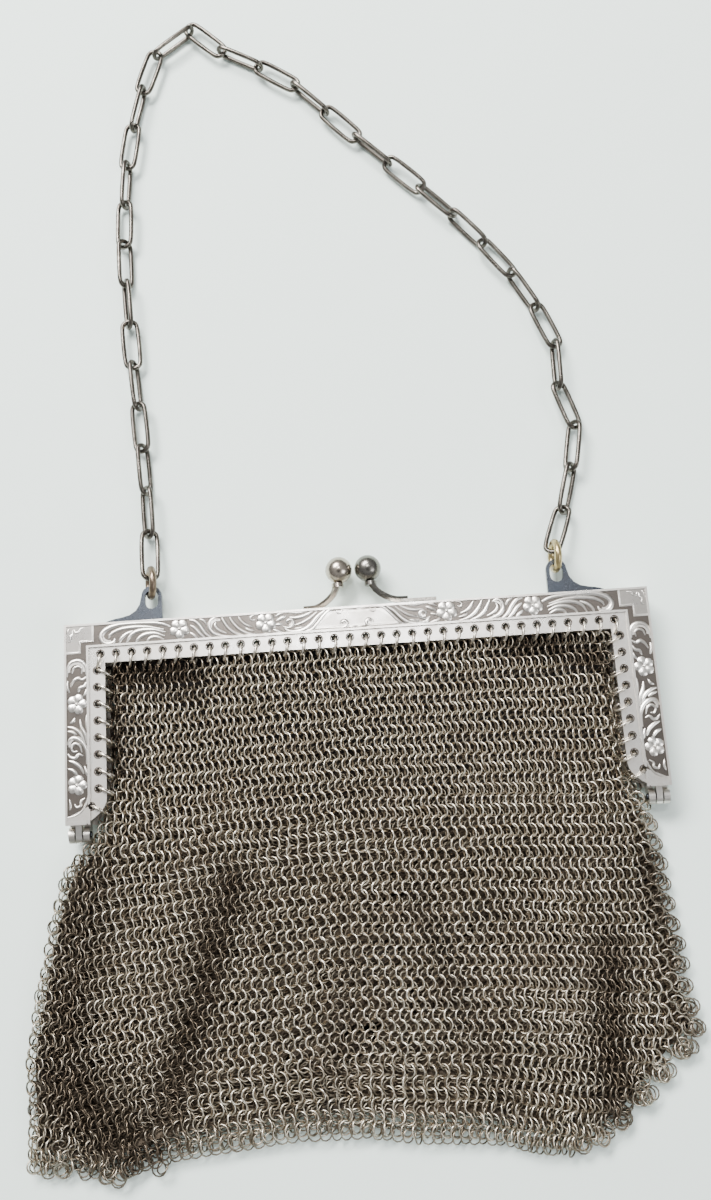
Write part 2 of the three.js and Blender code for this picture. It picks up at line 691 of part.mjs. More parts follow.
// The origin is at the middle of the purse's box, on the surface it lies on.
purse.updateMatrixWorld(true);
const bounds = new THREE.Box3().setFromObject(purse, true);
const centre = bounds.getCenter(new THREE.Vector3());
purse.position.set(-centre.x, -centre.y, -bounds.min.z);
purse.updateMatrixWorld(true);

export default purse;
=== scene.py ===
# %% [markdown]
# # A metal mesh purse
#
# The purse lies on its back on a pale surface: a hinged frame with raised ornament, a kiss clasp of two
# balls, a carrying chain of oval links, and a soft bag of ring mail. The frame, the clasp and the chain are
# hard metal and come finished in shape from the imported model. The mail is what this lesson builds: about
# nine thousand small wire rings, laid in the pattern of mail. The lesson goes from the camera and the
# light, through the metals, to the mail.

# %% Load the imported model
import math
import random

import bmesh
import bpy
from mathutils import Matrix, Vector, noise
from mathutils.bvhtree import BVHTree


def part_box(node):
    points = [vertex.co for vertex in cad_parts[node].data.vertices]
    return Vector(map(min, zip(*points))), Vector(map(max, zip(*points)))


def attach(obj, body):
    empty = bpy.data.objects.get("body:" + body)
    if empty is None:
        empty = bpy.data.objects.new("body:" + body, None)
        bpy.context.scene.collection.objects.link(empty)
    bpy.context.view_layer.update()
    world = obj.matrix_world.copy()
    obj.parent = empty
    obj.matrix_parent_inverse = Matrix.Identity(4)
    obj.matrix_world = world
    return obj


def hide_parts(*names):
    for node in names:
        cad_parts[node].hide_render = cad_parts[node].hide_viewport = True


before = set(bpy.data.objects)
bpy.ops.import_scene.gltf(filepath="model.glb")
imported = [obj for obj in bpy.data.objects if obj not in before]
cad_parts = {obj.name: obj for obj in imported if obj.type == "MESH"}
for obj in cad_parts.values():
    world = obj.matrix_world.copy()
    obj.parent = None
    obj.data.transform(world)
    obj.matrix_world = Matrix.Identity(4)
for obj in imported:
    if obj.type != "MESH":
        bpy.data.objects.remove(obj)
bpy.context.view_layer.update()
MM = 0.001
frame_low, frame_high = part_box("frame_front")
FRAME_DEPTH = 9.0
HOME = Vector(((frame_low.x + frame_high.x) / 2, frame_high.y, frame_high.z - FRAME_DEPTH * MM))


def place(x, y, z):
    """A point in millimetres from the middle of the frame's top edge, on the surface that it lies on."""
    return HOME + Vector((x, y, z)) * MM


# %% [markdown]
# ## Camera
#
# The picture was taken by hand from above: the camera stands a little towards the hem, leans away from
# straight down, and is rolled slightly. The lens and the lean of eleven degrees are assumed: ten to thirteen
# degrees would suit the frame's legs nearly as well, because legs that spread look like legs seen from a
# slant. With those two held, the other angles and the distance were fitted to the corners of the frame and
# to its holes. A camera is easiest to aim from its three axes, so they are worked out here and put in its
# matrix.

# %% Camera
TILT, SWING, ROLL = math.radians(11.0), math.radians(-1.883), math.radians(-3.899)
AIM = place(0.083, 2.133, 5.0)
DISTANCE = 0.291855
back = Vector((math.sin(TILT) * math.sin(SWING), -math.sin(TILT) * math.cos(SWING), math.cos(TILT)))
level = Vector((0, 1, 0)).cross(back).normalized()
upward = back.cross(level)
right = math.cos(ROLL) * level + math.sin(ROLL) * upward
top = -math.sin(ROLL) * level + math.cos(ROLL) * upward
camera_data = bpy.data.cameras.new("camera")
camera_data.sensor_width = 36
camera_data.lens = 36
camera = bpy.data.objects.new("camera", camera_data)
bpy.context.scene.collection.objects.link(camera)
spot = AIM + back * DISTANCE
camera.matrix_world = Matrix((
    (right.x, top.x, back.x, spot.x),
    (right.y, top.y, back.y, spot.y),
    (right.z, top.z, back.z, spot.z),
    (0, 0, 0, 1),
))
bpy.context.scene.camera = camera
print("camera stands", round(spot.z / MM), "mm above the surface")

# %% [markdown]
# ## Surface
#
# The purse lies on a matte off-white board. Slow noise in its bump stands for the ripples of a cloth.


# %% Surface
def new_object(name, mesh):
    made = bpy.data.objects.new(name, mesh)
    bpy.context.scene.collection.objects.link(made)
    return made


def mesh_from(bm, name):
    mesh = bpy.data.meshes.new(name)
    bm.to_mesh(mesh)
    bm.free()
    return mesh


def new_material(name, colour, roughness, metallic=0.0):
    material = bpy.data.materials.new(name)
    material.use_nodes = True
    shader = material.node_tree.nodes["Principled BSDF"]
    shader.inputs["Base Color"].default_value = (*colour, 1)
    shader.inputs["Roughness"].default_value = roughness
    shader.inputs["Metallic"].default_value = metallic
    return material


board_bm = bmesh.new()
bmesh.ops.create_grid(board_bm, x_segments=8, y_segments=8, size=2.5)
bmesh.ops.translate(board_bm, verts=board_bm.verts, vec=(0, 0, -0.0002))
board = new_object("board", mesh_from(board_bm, "board"))
board_cloth = new_material("board", (0.82, 0.925, 0.875), 0.9)
ripple_nodes, ripple_links = board_cloth.node_tree.nodes, board_cloth.node_tree.links
ripple_place, ripples = ripple_nodes.new("ShaderNodeTexCoord"), ripple_nodes.new("ShaderNodeTexNoise")
ripples.inputs["Scale"].default_value = 9
ripples.inputs["Detail"].default_value = 3
ripple_bump = ripple_nodes.new("ShaderNodeBump")
ripple_bump.inputs["Strength"].default_value = 0.35
ripple_bump.inputs["Distance"].default_value = 0.006
ripple_links.new(ripple_place.outputs["Object"], ripples.inputs["Vector"])
ripple_links.new(ripples.outputs["Fac"], ripple_bump.inputs["Height"])
ripple_links.new(ripple_bump.outputs["Normal"], ripple_nodes["Principled BSDF"].inputs["Normal"])
board.data.materials.append(board_cloth)
print("board", len(board.data.polygons), "faces")

# %% [markdown]
# ## Light
#
# Small shiny wires look right only when there is something for them to reflect. A large soft window above
# the top left gives the long highlights, and a weak lamp fills from the other side. A third, small lamp
# stands where it gives the bright spot in the middle of the top bar. The surroundings get lighter upwards
# and darker near the ground, with a dark patch high up that stands for the person who took the picture.


# %% Light
def soft_light(name, spot, aim, size, watts, colour):
    data = bpy.data.lights.new(name, "AREA")
    data.shape = "RECTANGLE"
    data.size, data.size_y = size
    data.energy = watts
    data.color = colour
    lamp = bpy.data.objects.new(name, data)
    bpy.context.scene.collection.objects.link(lamp)
    lamp.location = spot
    lamp.rotation_euler = (Vector(aim) - Vector(spot)).to_track_quat("-Z", "Y").to_euler()
    return lamp


soft_light("window", (-0.35, 0.60, 0.75), (0, 0, 0), (0.6, 0.35), 30.0, (1.0, 0.99, 0.97))
soft_light("fill", (0.7, -0.4, 0.7), (0, 0, 0), (0.4, 0.4), 4.0, (0.95, 0.98, 1.0))
soft_light("bar_light", (0.0, 0.17, 0.70), (0, 0, 0), (0.16, 0.10), 1.6, (1.0, 1.0, 1.0))
world = bpy.data.worlds.new("surroundings")
bpy.context.scene.world = world
world.use_nodes = True
nodes, links = world.node_tree.nodes, world.node_tree.links
direction = nodes.new("ShaderNodeTexCoord")
split = nodes.new("ShaderNodeSeparateXYZ")
ramp = nodes.new("ShaderNodeValToRGB")
ramp.color_ramp.elements[0].position = 0.0
ramp.color_ramp.elements[0].color = (0.16, 0.16, 0.165, 1)
ramp.color_ramp.elements[1].position = 0.9
ramp.color_ramp.elements[1].color = (0.72, 0.73, 0.74, 1)
links.new(direction.outputs["Generated"], split.inputs[0])
links.new(split.outputs["Z"], ramp.inputs["Fac"])
stand_in = nodes.new("ShaderNodeVectorMath")
stand_in.operation = "DISTANCE"
stand_in.inputs[1].default_value = (0.0, -0.25, 0.97)
shade = nodes.new("ShaderNodeMapRange")
shade.interpolation_type = "SMOOTHSTEP"
shade.inputs["From Min"].default_value = 0.16
shade.inputs["From Max"].default_value = 0.42
shade.inputs["To Min"].default_value = 0.06
dimmed = nodes.new("ShaderNodeVectorMath")
dimmed.operation = "SCALE"
links.new(direction.outputs["Generated"], stand_in.inputs[0])
links.new(stand_in.outputs["Value"], shade.inputs["Value"])
links.new(ramp.outputs["Color"], dimmed.inputs[0])
links.new(shade.outputs["Result"], dimmed.inputs["Scale"])
links.new(dimmed.outputs["Vector"], nodes["Background"].inputs["Color"])
nodes["Background"].inputs["Strength"].default_value = 0.9

# %% [markdown]
# ## Metals
#
# Every metal here is old: bright where hands polish it, and brown to black where they don't reach. One node
# group, Tarnish, mixes a clean colour and a dirty one by cloudy noise, and roughens what is dirty. Each
# metal gets its own colours and amounts.


# %% Tarnish group
def make_tarnish_group():
    group = bpy.data.node_groups.new("Tarnish", "ShaderNodeTree")
    face = group.interface
    for name, kind, value in (
            ("Clean", "NodeSocketColor", (0.8, 0.8, 0.8, 1)),
            ("Dirty", "NodeSocketColor", (0.1, 0.08, 0.06, 1)),
            ("Amount", "NodeSocketFloat", 0.4), ("Patch size", "NodeSocketFloat", 3.0),
            ("Shine", "NodeSocketFloat", 0.25), ("Dullness", "NodeSocketFloat", 0.5)):
        face.new_socket(name, in_out="INPUT", socket_type=kind).default_value = value
    face.new_socket("Color", in_out="OUTPUT", socket_type="NodeSocketColor")
    face.new_socket("Roughness", in_out="OUTPUT", socket_type="NodeSocketFloat")
    nodes, links = group.nodes, group.links
    given = nodes.new("NodeGroupInput")
    out = nodes.new("NodeGroupOutput")
    place_on = nodes.new("ShaderNodeTexCoord")
    scale = nodes.new("ShaderNodeMath")
    scale.operation = "DIVIDE"
    scale.inputs[0].default_value = 1000
    patches = nodes.new("ShaderNodeTexNoise")
    patches.inputs["Detail"].default_value = 5
    patches.inputs["Roughness"].default_value = 0.65
    level = nodes.new("ShaderNodeMapRange")
    level.inputs["From Min"].default_value = 0.36
    level.inputs["From Max"].default_value = 0.68
    strength = nodes.new("ShaderNodeMath")
    strength.operation = "MULTIPLY"
    strength.use_clamp = True
    mix = nodes.new("ShaderNodeMix")
    mix.data_type = "RGBA"
    rough = nodes.new("ShaderNodeMapRange")
    links.new(given.outputs["Patch size"], scale.inputs[1])
    links.new(place_on.outputs["Object"], patches.inputs["Vector"])
    links.new(scale.outputs[0], patches.inputs["Scale"])
    links.new(patches.outputs["Fac"], level.inputs["Value"])
    links.new(level.outputs["Result"], strength.inputs[0])
    links.new(given.outputs["Amount"], strength.inputs[1])
    links.new(strength.outputs[0], mix.inputs["Factor"])
    links.new(given.outputs["Clean"], mix.inputs["A"])
    links.new(given.outputs["Dirty"], mix.inputs["B"])
    links.new(strength.outputs[0], rough.inputs["Value"])
    links.new(given.outputs["Shine"], rough.inputs["To Min"])
    links.new(given.outputs["Dullness"], rough.inputs["To Max"])
    links.new(mix.outputs["Result"], out.inputs["Color"])
    links.new(rough.outputs["Result"], out.inputs["Roughness"])
    return group


tarnish_group = make_tarnish_group()
print("Tarnish has", len(tarnish_group.nodes), "nodes")

# %% [markdown]
# Dirt stays in the ground between raised ornament. The group Recess makes a mask for it from the height
# alone: 1 on the ground, 0 on the tops.


# %% Recess group
def make_recess_group():
    """A mask that is 1 on the ground between raised ornament and 0 on its tops, by height."""
    group = bpy.data.node_groups.new("Recess", "ShaderNodeTree")
    for name, value in (("Ground height", 0.0087), ("Top height", 0.009), ("Amount", 0.8)):
        socket = group.interface.new_socket(name, in_out="INPUT", socket_type="NodeSocketFloat")
        socket.default_value = value
    group.interface.new_socket("Mask", in_out="OUTPUT", socket_type="NodeSocketFloat")
    nodes, links = group.nodes, group.links
    given, out = nodes.new("NodeGroupInput"), nodes.new("NodeGroupOutput")
    place_on, split = nodes.new("ShaderNodeTexCoord"), nodes.new("ShaderNodeSeparateXYZ")
    depth, below = nodes.new("ShaderNodeMapRange"), nodes.new("ShaderNodeMath")
    depth.interpolation_type = "SMOOTHSTEP"
    depth.inputs["To Min"].default_value = 1
    depth.inputs["To Max"].default_value = 0
    below.operation = "GREATER_THAN"
    under = nodes.new("ShaderNodeMath")
    under.operation = "SUBTRACT"
    under.inputs[1].default_value = 0.00012
    both, darkening = nodes.new("ShaderNodeMath"), nodes.new("ShaderNodeMath")
    both.operation = darkening.operation = "MULTIPLY"
    links.new(place_on.outputs["Object"], split.inputs[0])
    links.new(split.outputs["Z"], depth.inputs["Value"])
    links.new(given.outputs["Ground height"], depth.inputs["From Min"])
    links.new(given.outputs["Top height"], depth.inputs["From Max"])
    links.new(given.outputs["Ground height"], under.inputs[0])
    links.new(split.outputs["Z"], below.inputs[0])
    links.new(under.outputs[0], below.inputs[1])
    links.new(depth.outputs["Result"], both.inputs[0])
    links.new(below.outputs[0], both.inputs[1])
    links.new(both.outputs[0], darkening.inputs[0])
    links.new(given.outputs["Amount"], darkening.inputs[1])
    links.new(darkening.outputs[0], out.inputs["Mask"])
    return group


recess_group = make_recess_group()
print("Recess has", len(recess_group.nodes), "nodes")

# %% [markdown]
# In the mail, the side of a ring that lies under its neighbours is in shade and the side on top is lit. That
# is what makes rows of curved strokes of a mass of rings. The group below paints that shade into the wire's
# colour, from two values that each vertex of a ring carries: outer, from 0 under to 1 on top, and a second
# value that paints shade on the rings that lie in folds and adds a little random dirt.


# %% The metals
def old_metal(name, clean, dirty, amount, patch_mm, shine, dullness):
    material = new_material(name, clean, shine, metallic=1.0)
    nodes, links = material.node_tree.nodes, material.node_tree.links
    tarnish = nodes.new("ShaderNodeGroup")
    tarnish.node_tree = tarnish_group
    tarnish.inputs["Clean"].default_value = (*clean, 1)
    tarnish.inputs["Dirty"].default_value = (*dirty, 1)
    tarnish.inputs["Amount"].default_value = amount
    tarnish.inputs["Patch size"].default_value = patch_mm
    tarnish.inputs["Shine"].default_value = shine
    tarnish.inputs["Dullness"].default_value = dullness
    shader = nodes["Principled BSDF"]
    links.new(tarnish.outputs["Color"], shader.inputs["Base Color"])
    links.new(tarnish.outputs["Roughness"], shader.inputs["Roughness"])
    return material


def make_shade_and_grime_group():
    """Paints shade on the side of each ring that lies under its neighbours, by the ring's own attribute, and
    darkens rings by a second one: painted shade in folds and a little random dirt.
    """
    group = bpy.data.node_groups.new("Ring shade and dirt", "ShaderNodeTree")
    group.interface.new_socket("Color", in_out="INPUT", socket_type="NodeSocketColor")
    group.interface.new_socket("Shaded side", in_out="INPUT", socket_type="NodeSocketColor")
    group.interface.new_socket("Color", in_out="OUTPUT", socket_type="NodeSocketColor")
    nodes, links = group.nodes, group.links
    given, out = nodes.new("NodeGroupInput"), nodes.new("NodeGroupOutput")
    outer, level = nodes.new("ShaderNodeAttribute"), nodes.new("ShaderNodeMapRange")
    mix = nodes.new("ShaderNodeMix")
    outer.attribute_name = "outer"
    level.interpolation_type = "SMOOTHSTEP"
    level.inputs["From Min"].default_value = 0.25
    level.inputs["From Max"].default_value = 0.72
    mix.data_type = "RGBA"
    links.new(outer.outputs["Fac"], level.inputs["Value"])
    links.new(level.outputs["Result"], mix.inputs["Factor"])
    links.new(given.outputs["Shaded side"], mix.inputs["A"])
    links.new(given.outputs["Color"], mix.inputs["B"])
    # Rings are darkened towards this colour: painted shade where they lie in folds, plus a little dirt that
    # differs at random.
    darkening, dark = nodes.new("ShaderNodeAttribute"), nodes.new("ShaderNodeMix")
    darkening.attribute_name = "darkening"
    dark.data_type = "RGBA"
    dark.inputs["B"].default_value = (0.12, 0.095, 0.07, 1)
    links.new(darkening.outputs["Fac"], dark.inputs["Factor"])
    links.new(mix.outputs["Result"], dark.inputs["A"])
    links.new(dark.outputs["Result"], out.inputs["Color"])
    return group


shade_and_grime_group = make_shade_and_grime_group()


def paint_shade_and_grime(material, under_side_shade):
    nodes, links = material.node_tree.nodes, material.node_tree.links
    shader = nodes["Principled BSDF"]
    shade_and_grime_node = nodes.new("ShaderNodeGroup")
    shade_and_grime_node.node_tree = shade_and_grime_group
    shade_and_grime_node.inputs["Shaded side"].default_value = (*under_side_shade, 1)
    links.new(shader.inputs["Base Color"].links[0].from_socket, shade_and_grime_node.inputs["Color"])
    links.new(shade_and_grime_node.outputs["Color"], shader.inputs["Base Color"])


silver = old_metal("old_silver", (0.93, 0.90, 0.85), (0.42, 0.36, 0.30), 0.5, 5.0, 0.27, 0.45)
plain_silver = old_metal("plain_silver", (0.76, 0.73, 0.68), (0.22, 0.18, 0.14), 0.5, 6.0, 0.3, 0.55)
ball_silver = old_metal("ball_silver", (0.46, 0.41, 0.35), (0.20, 0.15, 0.11), 0.35, 2.5, 0.19, 0.4)
ball_steel = old_metal("ball_steel", (0.22, 0.21, 0.19), (0.07, 0.06, 0.05), 0.45, 2.0, 0.22, 0.42)
blue_steel = old_metal("blue_steel", (0.095, 0.108, 0.13), (0.04, 0.037, 0.038), 0.5, 3.0, 0.22, 0.40)
gunmetal = old_metal("gunmetal", (0.145, 0.13, 0.113), (0.04, 0.034, 0.03), 0.7, 2.2, 0.25, 0.40)
bronze = old_metal("bronze", (0.26, 0.20, 0.145), (0.07, 0.05, 0.04), 0.6, 2.0, 0.28, 0.5)
brass = old_metal("brass", (0.55, 0.44, 0.23), (0.18, 0.13, 0.07), 0.5, 2.0, 0.25, 0.5)
mail_metal = old_metal("mail_wire", (0.84, 0.78, 0.65), (0.24, 0.17, 0.11), 0.6, 6.0, 0.28, 0.5)
stitch_metal = old_metal("stitch_wire", (0.86, 0.81, 0.72), (0.30, 0.24, 0.17), 0.5, 3.0, 0.24, 0.45)
# The second colour is painted shade for the side of each mail ring that lies under its neighbours.
paint_shade_and_grime(mail_metal, (0.26, 0.21, 0.15))
# The net under the front sheet gets a darker copy of the mail's wire: painted shade for rings that lie deeper.
shaded_under_metal = old_metal("mail_wire_under_shaded", (0.42, 0.38, 0.30), (0.13, 0.10, 0.07), 0.7, 4.0, 0.34, 0.55)
paint_shade_and_grime(shaded_under_metal, (0.20, 0.16, 0.12))
print("metals", sorted(material.name for material in bpy.data.materials))

# %% [markdown]
# The silver of the front gets its dirt where the ornament's ground lies, 0.3 mm under the face.


# %% Dirt between the ornament
def dirty_recesses(material, ground, top, amount, colour):
    nodes, links = material.node_tree.nodes, material.node_tree.links
    shader = nodes["Principled BSDF"]
    recess = nodes.new("ShaderNodeGroup")
    recess.node_tree = recess_group
    recess.inputs["Ground height"].default_value = ground
    recess.inputs["Top height"].default_value = top
    recess.inputs["Amount"].default_value = amount
    mix = nodes.new("ShaderNodeMix")
    mix.data_type = "RGBA"
    mix.inputs["B"].default_value = (*colour, 1)
    links.new(recess.outputs["Mask"], mix.inputs["Factor"])
    links.new(shader.inputs["Base Color"].links[0].from_socket, mix.inputs["A"])
    links.new(mix.outputs["Result"], shader.inputs["Base Color"])


RELIEF = 0.3
GROUND_HEIGHT = frame_high.z - RELIEF * MM
dirty_recesses(silver, GROUND_HEIGHT - 0.01 * MM, GROUND_HEIGHT + 0.14 * MM, 0.94, (0.085, 0.07, 0.06))
print("ornament's ground at", round(GROUND_HEIGHT / MM, 2), "mm")

# %% [markdown]
# The model's faces arrive as loose triangles, so each node is welded first; only then can its curves be
# shaded smooth or divided. The chain's links and the jump rings are rounded and made a little thicker,
# because dividing a mesh thins it.


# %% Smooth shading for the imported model's faces
def make_smooth_group():
    """Shades faces smooth, except across edges sharper than forty degrees."""
    group = bpy.data.node_groups.new("Smooth", "GeometryNodeTree")
    group.interface.new_socket("Geometry", in_out="INPUT", socket_type="NodeSocketGeometry")
    group.interface.new_socket("Geometry", in_out="OUTPUT", socket_type="NodeSocketGeometry")
    nodes, links = group.nodes, group.links
    given, out = nodes.new("NodeGroupInput"), nodes.new("NodeGroupOutput")
    angle, gentle = nodes.new("GeometryNodeInputMeshEdgeAngle"), nodes.new("FunctionNodeCompare")
    gentle.operation = "LESS_THAN"
    gentle.inputs["B"].default_value = math.radians(40)
    faces, edges = nodes.new("GeometryNodeSetShadeSmooth"), nodes.new("GeometryNodeSetShadeSmooth")
    edges.domain = "EDGE"
    links.new(given.outputs["Geometry"], faces.inputs["Geometry"])
    links.new(faces.outputs["Geometry"], edges.inputs["Geometry"])
    links.new(angle.outputs["Unsigned Angle"], gentle.inputs["A"])
    links.new(gentle.outputs["Result"], edges.inputs["Shade Smooth"])
    links.new(edges.outputs["Geometry"], out.inputs["Geometry"])
    return group


smooth_group = make_smooth_group()

CAD_METALS = {
    "frame_front": silver, "frame_back": plain_silver,
    "hinge_pin_left": blue_steel, "hinge_pin_right": blue_steel,
    "clasp_left": ball_silver, "clasp_right": ball_steel,
    "chain_lug_left": blue_steel, "chain_lug_right": blue_steel,
    "jump_ring_left": bronze, "jump_ring_right": brass,
}
WELD_REACH = 0.002 * MM
LINK_SWELL = 0.11 * MM
for name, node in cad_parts.items():
    node.data.materials.clear()
    node.data.materials.append(CAD_METALS.get(name, gunmetal))
    node.modifiers.new("weld", "WELD").merge_threshold = WELD_REACH
    if name.startswith(("chain_link", "jump_ring")):
        rounder = node.modifiers.new("rounder", "SUBSURF")
        rounder.levels = rounder.render_levels = 2
        thicker = node.modifiers.new("thicker", "DISPLACE")
        thicker.mid_level = 0
        thicker.strength = LINK_SWELL
    node.modifiers.new("smooth", "NODES").node_group = smooth_group
print("metals on", len(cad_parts), "nodes")

# %% [markdown]
# ## The ornament on the frame
#
# The front of the frame is stamped with scrolls, leaves and flowers round a plain panel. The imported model
# has their rough shapes; here they get their rounded ridges. Every ridge is one stroke: a flat grid four
# faces wide that follows a smooth curve, high in its middle and thin at its ends. A flower is a ring of
# petals made in the same way. The strokes are listed for one half of the frame, in millimetres: along the
# bar from its middle, or down the leg from the top edge, and then in from the outer edge. Both halves use
# the same lists.

# %% Strokes of the ornament
BAND = 5.8
GROUND = FRAME_DEPTH - RELIEF
BAR_STROKES = [
    # width, height, points along the curve
    (0.55, 0.30, [(0, 5.0), (1.0, 5.0), (2.0, 5.0)]),
    (0.85, 0.34, [(10.6, 4.9), (7.5, 4.95), (4.5, 5.0), (3.2, 5.05), (2.4, 4.6), (2.35, 3.9), (2.9, 3.5),
                  (3.5, 3.8), (3.3, 4.3)]),
    (0.40, 0.26, [(0, 0.75), (1.8, 0.75), (3.4, 0.75)]),
    (0.50, 0.32, [(3.4, 0.6), (3.5, 1.2), (4.0, 1.5), (4.6, 1.2), (4.6, 0.7)]),
    (0.85, 0.36, [(4.8, 0.5), (6.4, 0.7), (7.8, 1.9), (9.3, 3.6), (10.8, 5.0), (12.6, 5.4)]),
    (0.95, 0.36, [(7.4, 0.6), (9.2, 1.9), (10.9, 3.8), (12.8, 5.0), (15.0, 5.3), (16.6, 4.9), (17.3, 4.1)]),
    (0.60, 0.30, [(9.4, 0.8), (11.3, 2.3), (13.2, 3.3), (14.8, 3.7)]),
    (0.75, 0.30, [(10.4, 0.6), (12.5, 1.6), (14.5, 1.95), (16.0, 1.7)]),
    (0.50, 0.26, [(12.0, 0.5), (14.0, 0.8), (16.5, 0.55)]),
    (0.50, 0.26, [(12.7, 4.2), (13.8, 4.5), (14.9, 4.5)]),
    (0.65, 0.34, [(17.6, 3.8), (16.5, 4.25), (15.4, 3.8), (15.1, 2.9), (15.8, 2.3), (16.7, 2.6), (16.5, 3.2)]),
    (0.80, 0.34, [(16.8, 1.3), (17.9, 1.8), (19.2, 2.4)]),
    (0.60, 0.28, [(17.4, 0.6), (18.4, 0.8), (19.4, 1.4)]),
    (0.65, 0.30, [(17.8, 3.1), (18.7, 3.3), (19.4, 3.2)]),
    (0.65, 0.30, [(17.6, 5.2), (19.0, 4.9), (20.0, 4.4)]),
    (0.50, 0.30, [(23.6, 0.6), (24.8, 0.7), (25.4, 1.3), (24.9, 1.9), (24.3, 1.6)]),
    (0.75, 0.34, [(24.4, 5.3), (26.5, 4.8), (28.3, 3.6), (29.6, 2.0), (30.3, 0.7)]),
    (0.65, 0.30, [(24.9, 3.5), (26.4, 2.9), (27.6, 1.8), (28.2, 0.7)]),
    (0.55, 0.28, [(24.4, 4.4), (25.6, 4.2), (26.6, 3.6)]),
    (0.75, 0.34, [(27.0, 5.4), (29.2, 4.6), (30.8, 3.2), (31.7, 1.7), (32.2, 0.7)]),
    (0.90, 0.40, [(29.6, 5.5), (32.0, 5.25), (34.0, 4.5), (35.2, 3.0), (35.0, 1.5), (33.9, 0.7), (32.9, 1.2)]),
    (0.65, 0.30, [(31.2, 4.6), (33.1, 3.6), (33.9, 2.5), (33.6, 1.7)]),
    (0.85, 0.36, [(34.8, 5.4), (36.3, 4.2), (37.3, 2.6), (38.5, 1.2), (40.0, 0.7)]),
    (0.75, 0.32, [(36.2, 5.5), (37.5, 4.3), (38.5, 3.0), (39.8, 2.0)]),
    (0.65, 0.30, [(38.0, 5.5), (38.9, 4.6), (39.9, 3.8)]),
    (0.55, 0.28, [(35.9, 2.3), (36.5, 1.2), (37.6, 0.6)]),
    (1.05, 0.40, [(44.6, 2.0), (46.5, 1.2), (49.3, 0.8), (53.4, 0.65), (57.2, 0.8), (59.9, 1.7), (61.2, 3.1),
                  (60.9, 4.5), (59.7, 5.2), (58.3, 4.9), (57.9, 4.0)]),
    (0.75, 0.34, [(46.2, 2.6), (50.0, 1.75), (54.0, 1.6), (57.0, 2.0), (58.9, 3.0), (59.4, 3.9)]),
    (0.80, 0.34, [(53.6, 2.5), (55.3, 3.2), (56.5, 4.3), (56.9, 5.4)]),
    (0.80, 0.32, [(45.8, 3.3), (48.8, 2.5), (52.0, 2.5), (54.0, 3.4), (55.2, 5.2)]),
    (0.80, 0.32, [(46.0, 4.2), (48.2, 3.4), (50.6, 3.5), (52.2, 4.3), (53.0, 5.4)]),
    (0.70, 0.30, [(46.2, 5.0), (47.8, 4.3), (49.4, 4.4), (50.4, 5.4)]),
]
LEG_STROKES = [
    (0.45, 0.34, [(0.7, 6.85), (2.4, 6.85), (4.25, 6.8), (4.25, 5.3), (4.3, 3.8), (5.6, 3.75), (6.8, 3.7),
                  (6.8, 2.2), (6.8, 0.7)]),
    (0.55, 0.30, [(1.0, 5.0), (1.1, 4.0), (1.9, 3.4), (1.9, 2.7), (1.2, 2.4)]),
    (0.55, 0.30, [(1.4, 2.0), (2.3, 2.0), (2.9, 1.5), (3.9, 1.6), (4.3, 1.0)]),
    (0.45, 0.26, [(0.9, 1.3), (1.6, 0.9), (2.6, 0.8)]),
    (0.90, 0.38, [(12.2, 5.1), (10.6, 5.1), (9.3, 4.4), (8.8, 3.1), (9.2, 1.6), (10.6, 0.8), (12.6, 0.6)]),
    (0.60, 0.32, [(12.0, 4.0), (10.8, 4.2), (10.2, 3.3), (10.6, 2.2), (11.8, 1.8)]),
    (0.75, 0.34, [(12.8, 5.2), (13.4, 4.2), (13.0, 3.2), (13.6, 2.2), (15.0, 1.4)]),
    (0.75, 0.34, [(14.0, 5.2), (15.0, 4.6), (15.4, 3.6), (16.4, 3.2)]),
    (0.70, 0.32, [(13.6, 0.8), (15.0, 0.7), (16.4, 1.2)]),
    (0.60, 0.30, [(15.8, 5.2), (16.8, 4.9), (17.4, 4.4)]),
    (0.70, 0.32, [(22.4, 2.4), (23.2, 2.0), (23.6, 1.2)]),
    (0.80, 0.34, [(28.6, 5.2), (26.4, 4.8), (24.6, 3.9), (22.8, 3.6)]),
    (0.80, 0.34, [(28.0, 4.6), (26.0, 3.6), (24.9, 2.2), (24.4, 0.7)]),
    (0.65, 0.30, [(26.4, 2.9), (25.8, 1.9), (25.4, 0.7)]),
    (0.60, 0.28, [(21.8, 5.2), (23.6, 5.1), (25.6, 5.25)]),
    (0.90, 0.38, [(33.4, 5.1), (30.4, 5.15), (28.2, 4.1), (27.2, 2.6), (27.3, 1.3), (28.6, 0.6)]),
    (0.60, 0.32, [(30.6, 4.0), (29.0, 3.5), (28.4, 2.4), (29.2, 1.5), (30.3, 2.0), (30.2, 2.9)]),
    (0.70, 0.32, [(31.4, 4.2), (31.0, 3.2), (31.8, 2.4), (31.6, 1.4), (30.8, 0.7)]),
    (0.80, 0.34, [(35.6, 4.4), (34.0, 3.6), (33.0, 2.4), (32.4, 1.0)]),
    (0.75, 0.34, [(36.0, 3.0), (34.8, 2.0), (34.2, 0.8)]),
    (0.70, 0.32, [(36.2, 5.2), (35.2, 5.0), (33.8, 4.6)]),
    (0.60, 0.30, [(41.2, 4.6), (41.9, 3.6), (42.9, 3.6), (43.2, 2.6), (42.4, 2.2)]),
    (0.60, 0.30, [(41.4, 1.0), (42.6, 1.2), (43.8, 1.0)]),
    (0.50, 0.34, [(38.6, 5.5), (41.0, 5.3), (43.4, 4.4), (44.8, 3.0), (45.3, 1.4), (45.4, 0.3)]),
]
BAR_FLOWERS = [(21.7, 2.75, 2.7), (42.4, 2.75, 2.6)]
LEG_FLOWERS = [(19.2, 2.9, 2.6), (38.2, 2.8, 2.5)]
LEG_EDGE = 70
LEG_SPLAY = 0.013
SUNK = 0.03


def on_bar(side, along, inset, height):
    return place(side * along, -inset, GROUND + height)


def on_leg(side, along, inset, height):
    return place(side * (LEG_EDGE + LEG_SPLAY * along - inset), -along, GROUND + height)


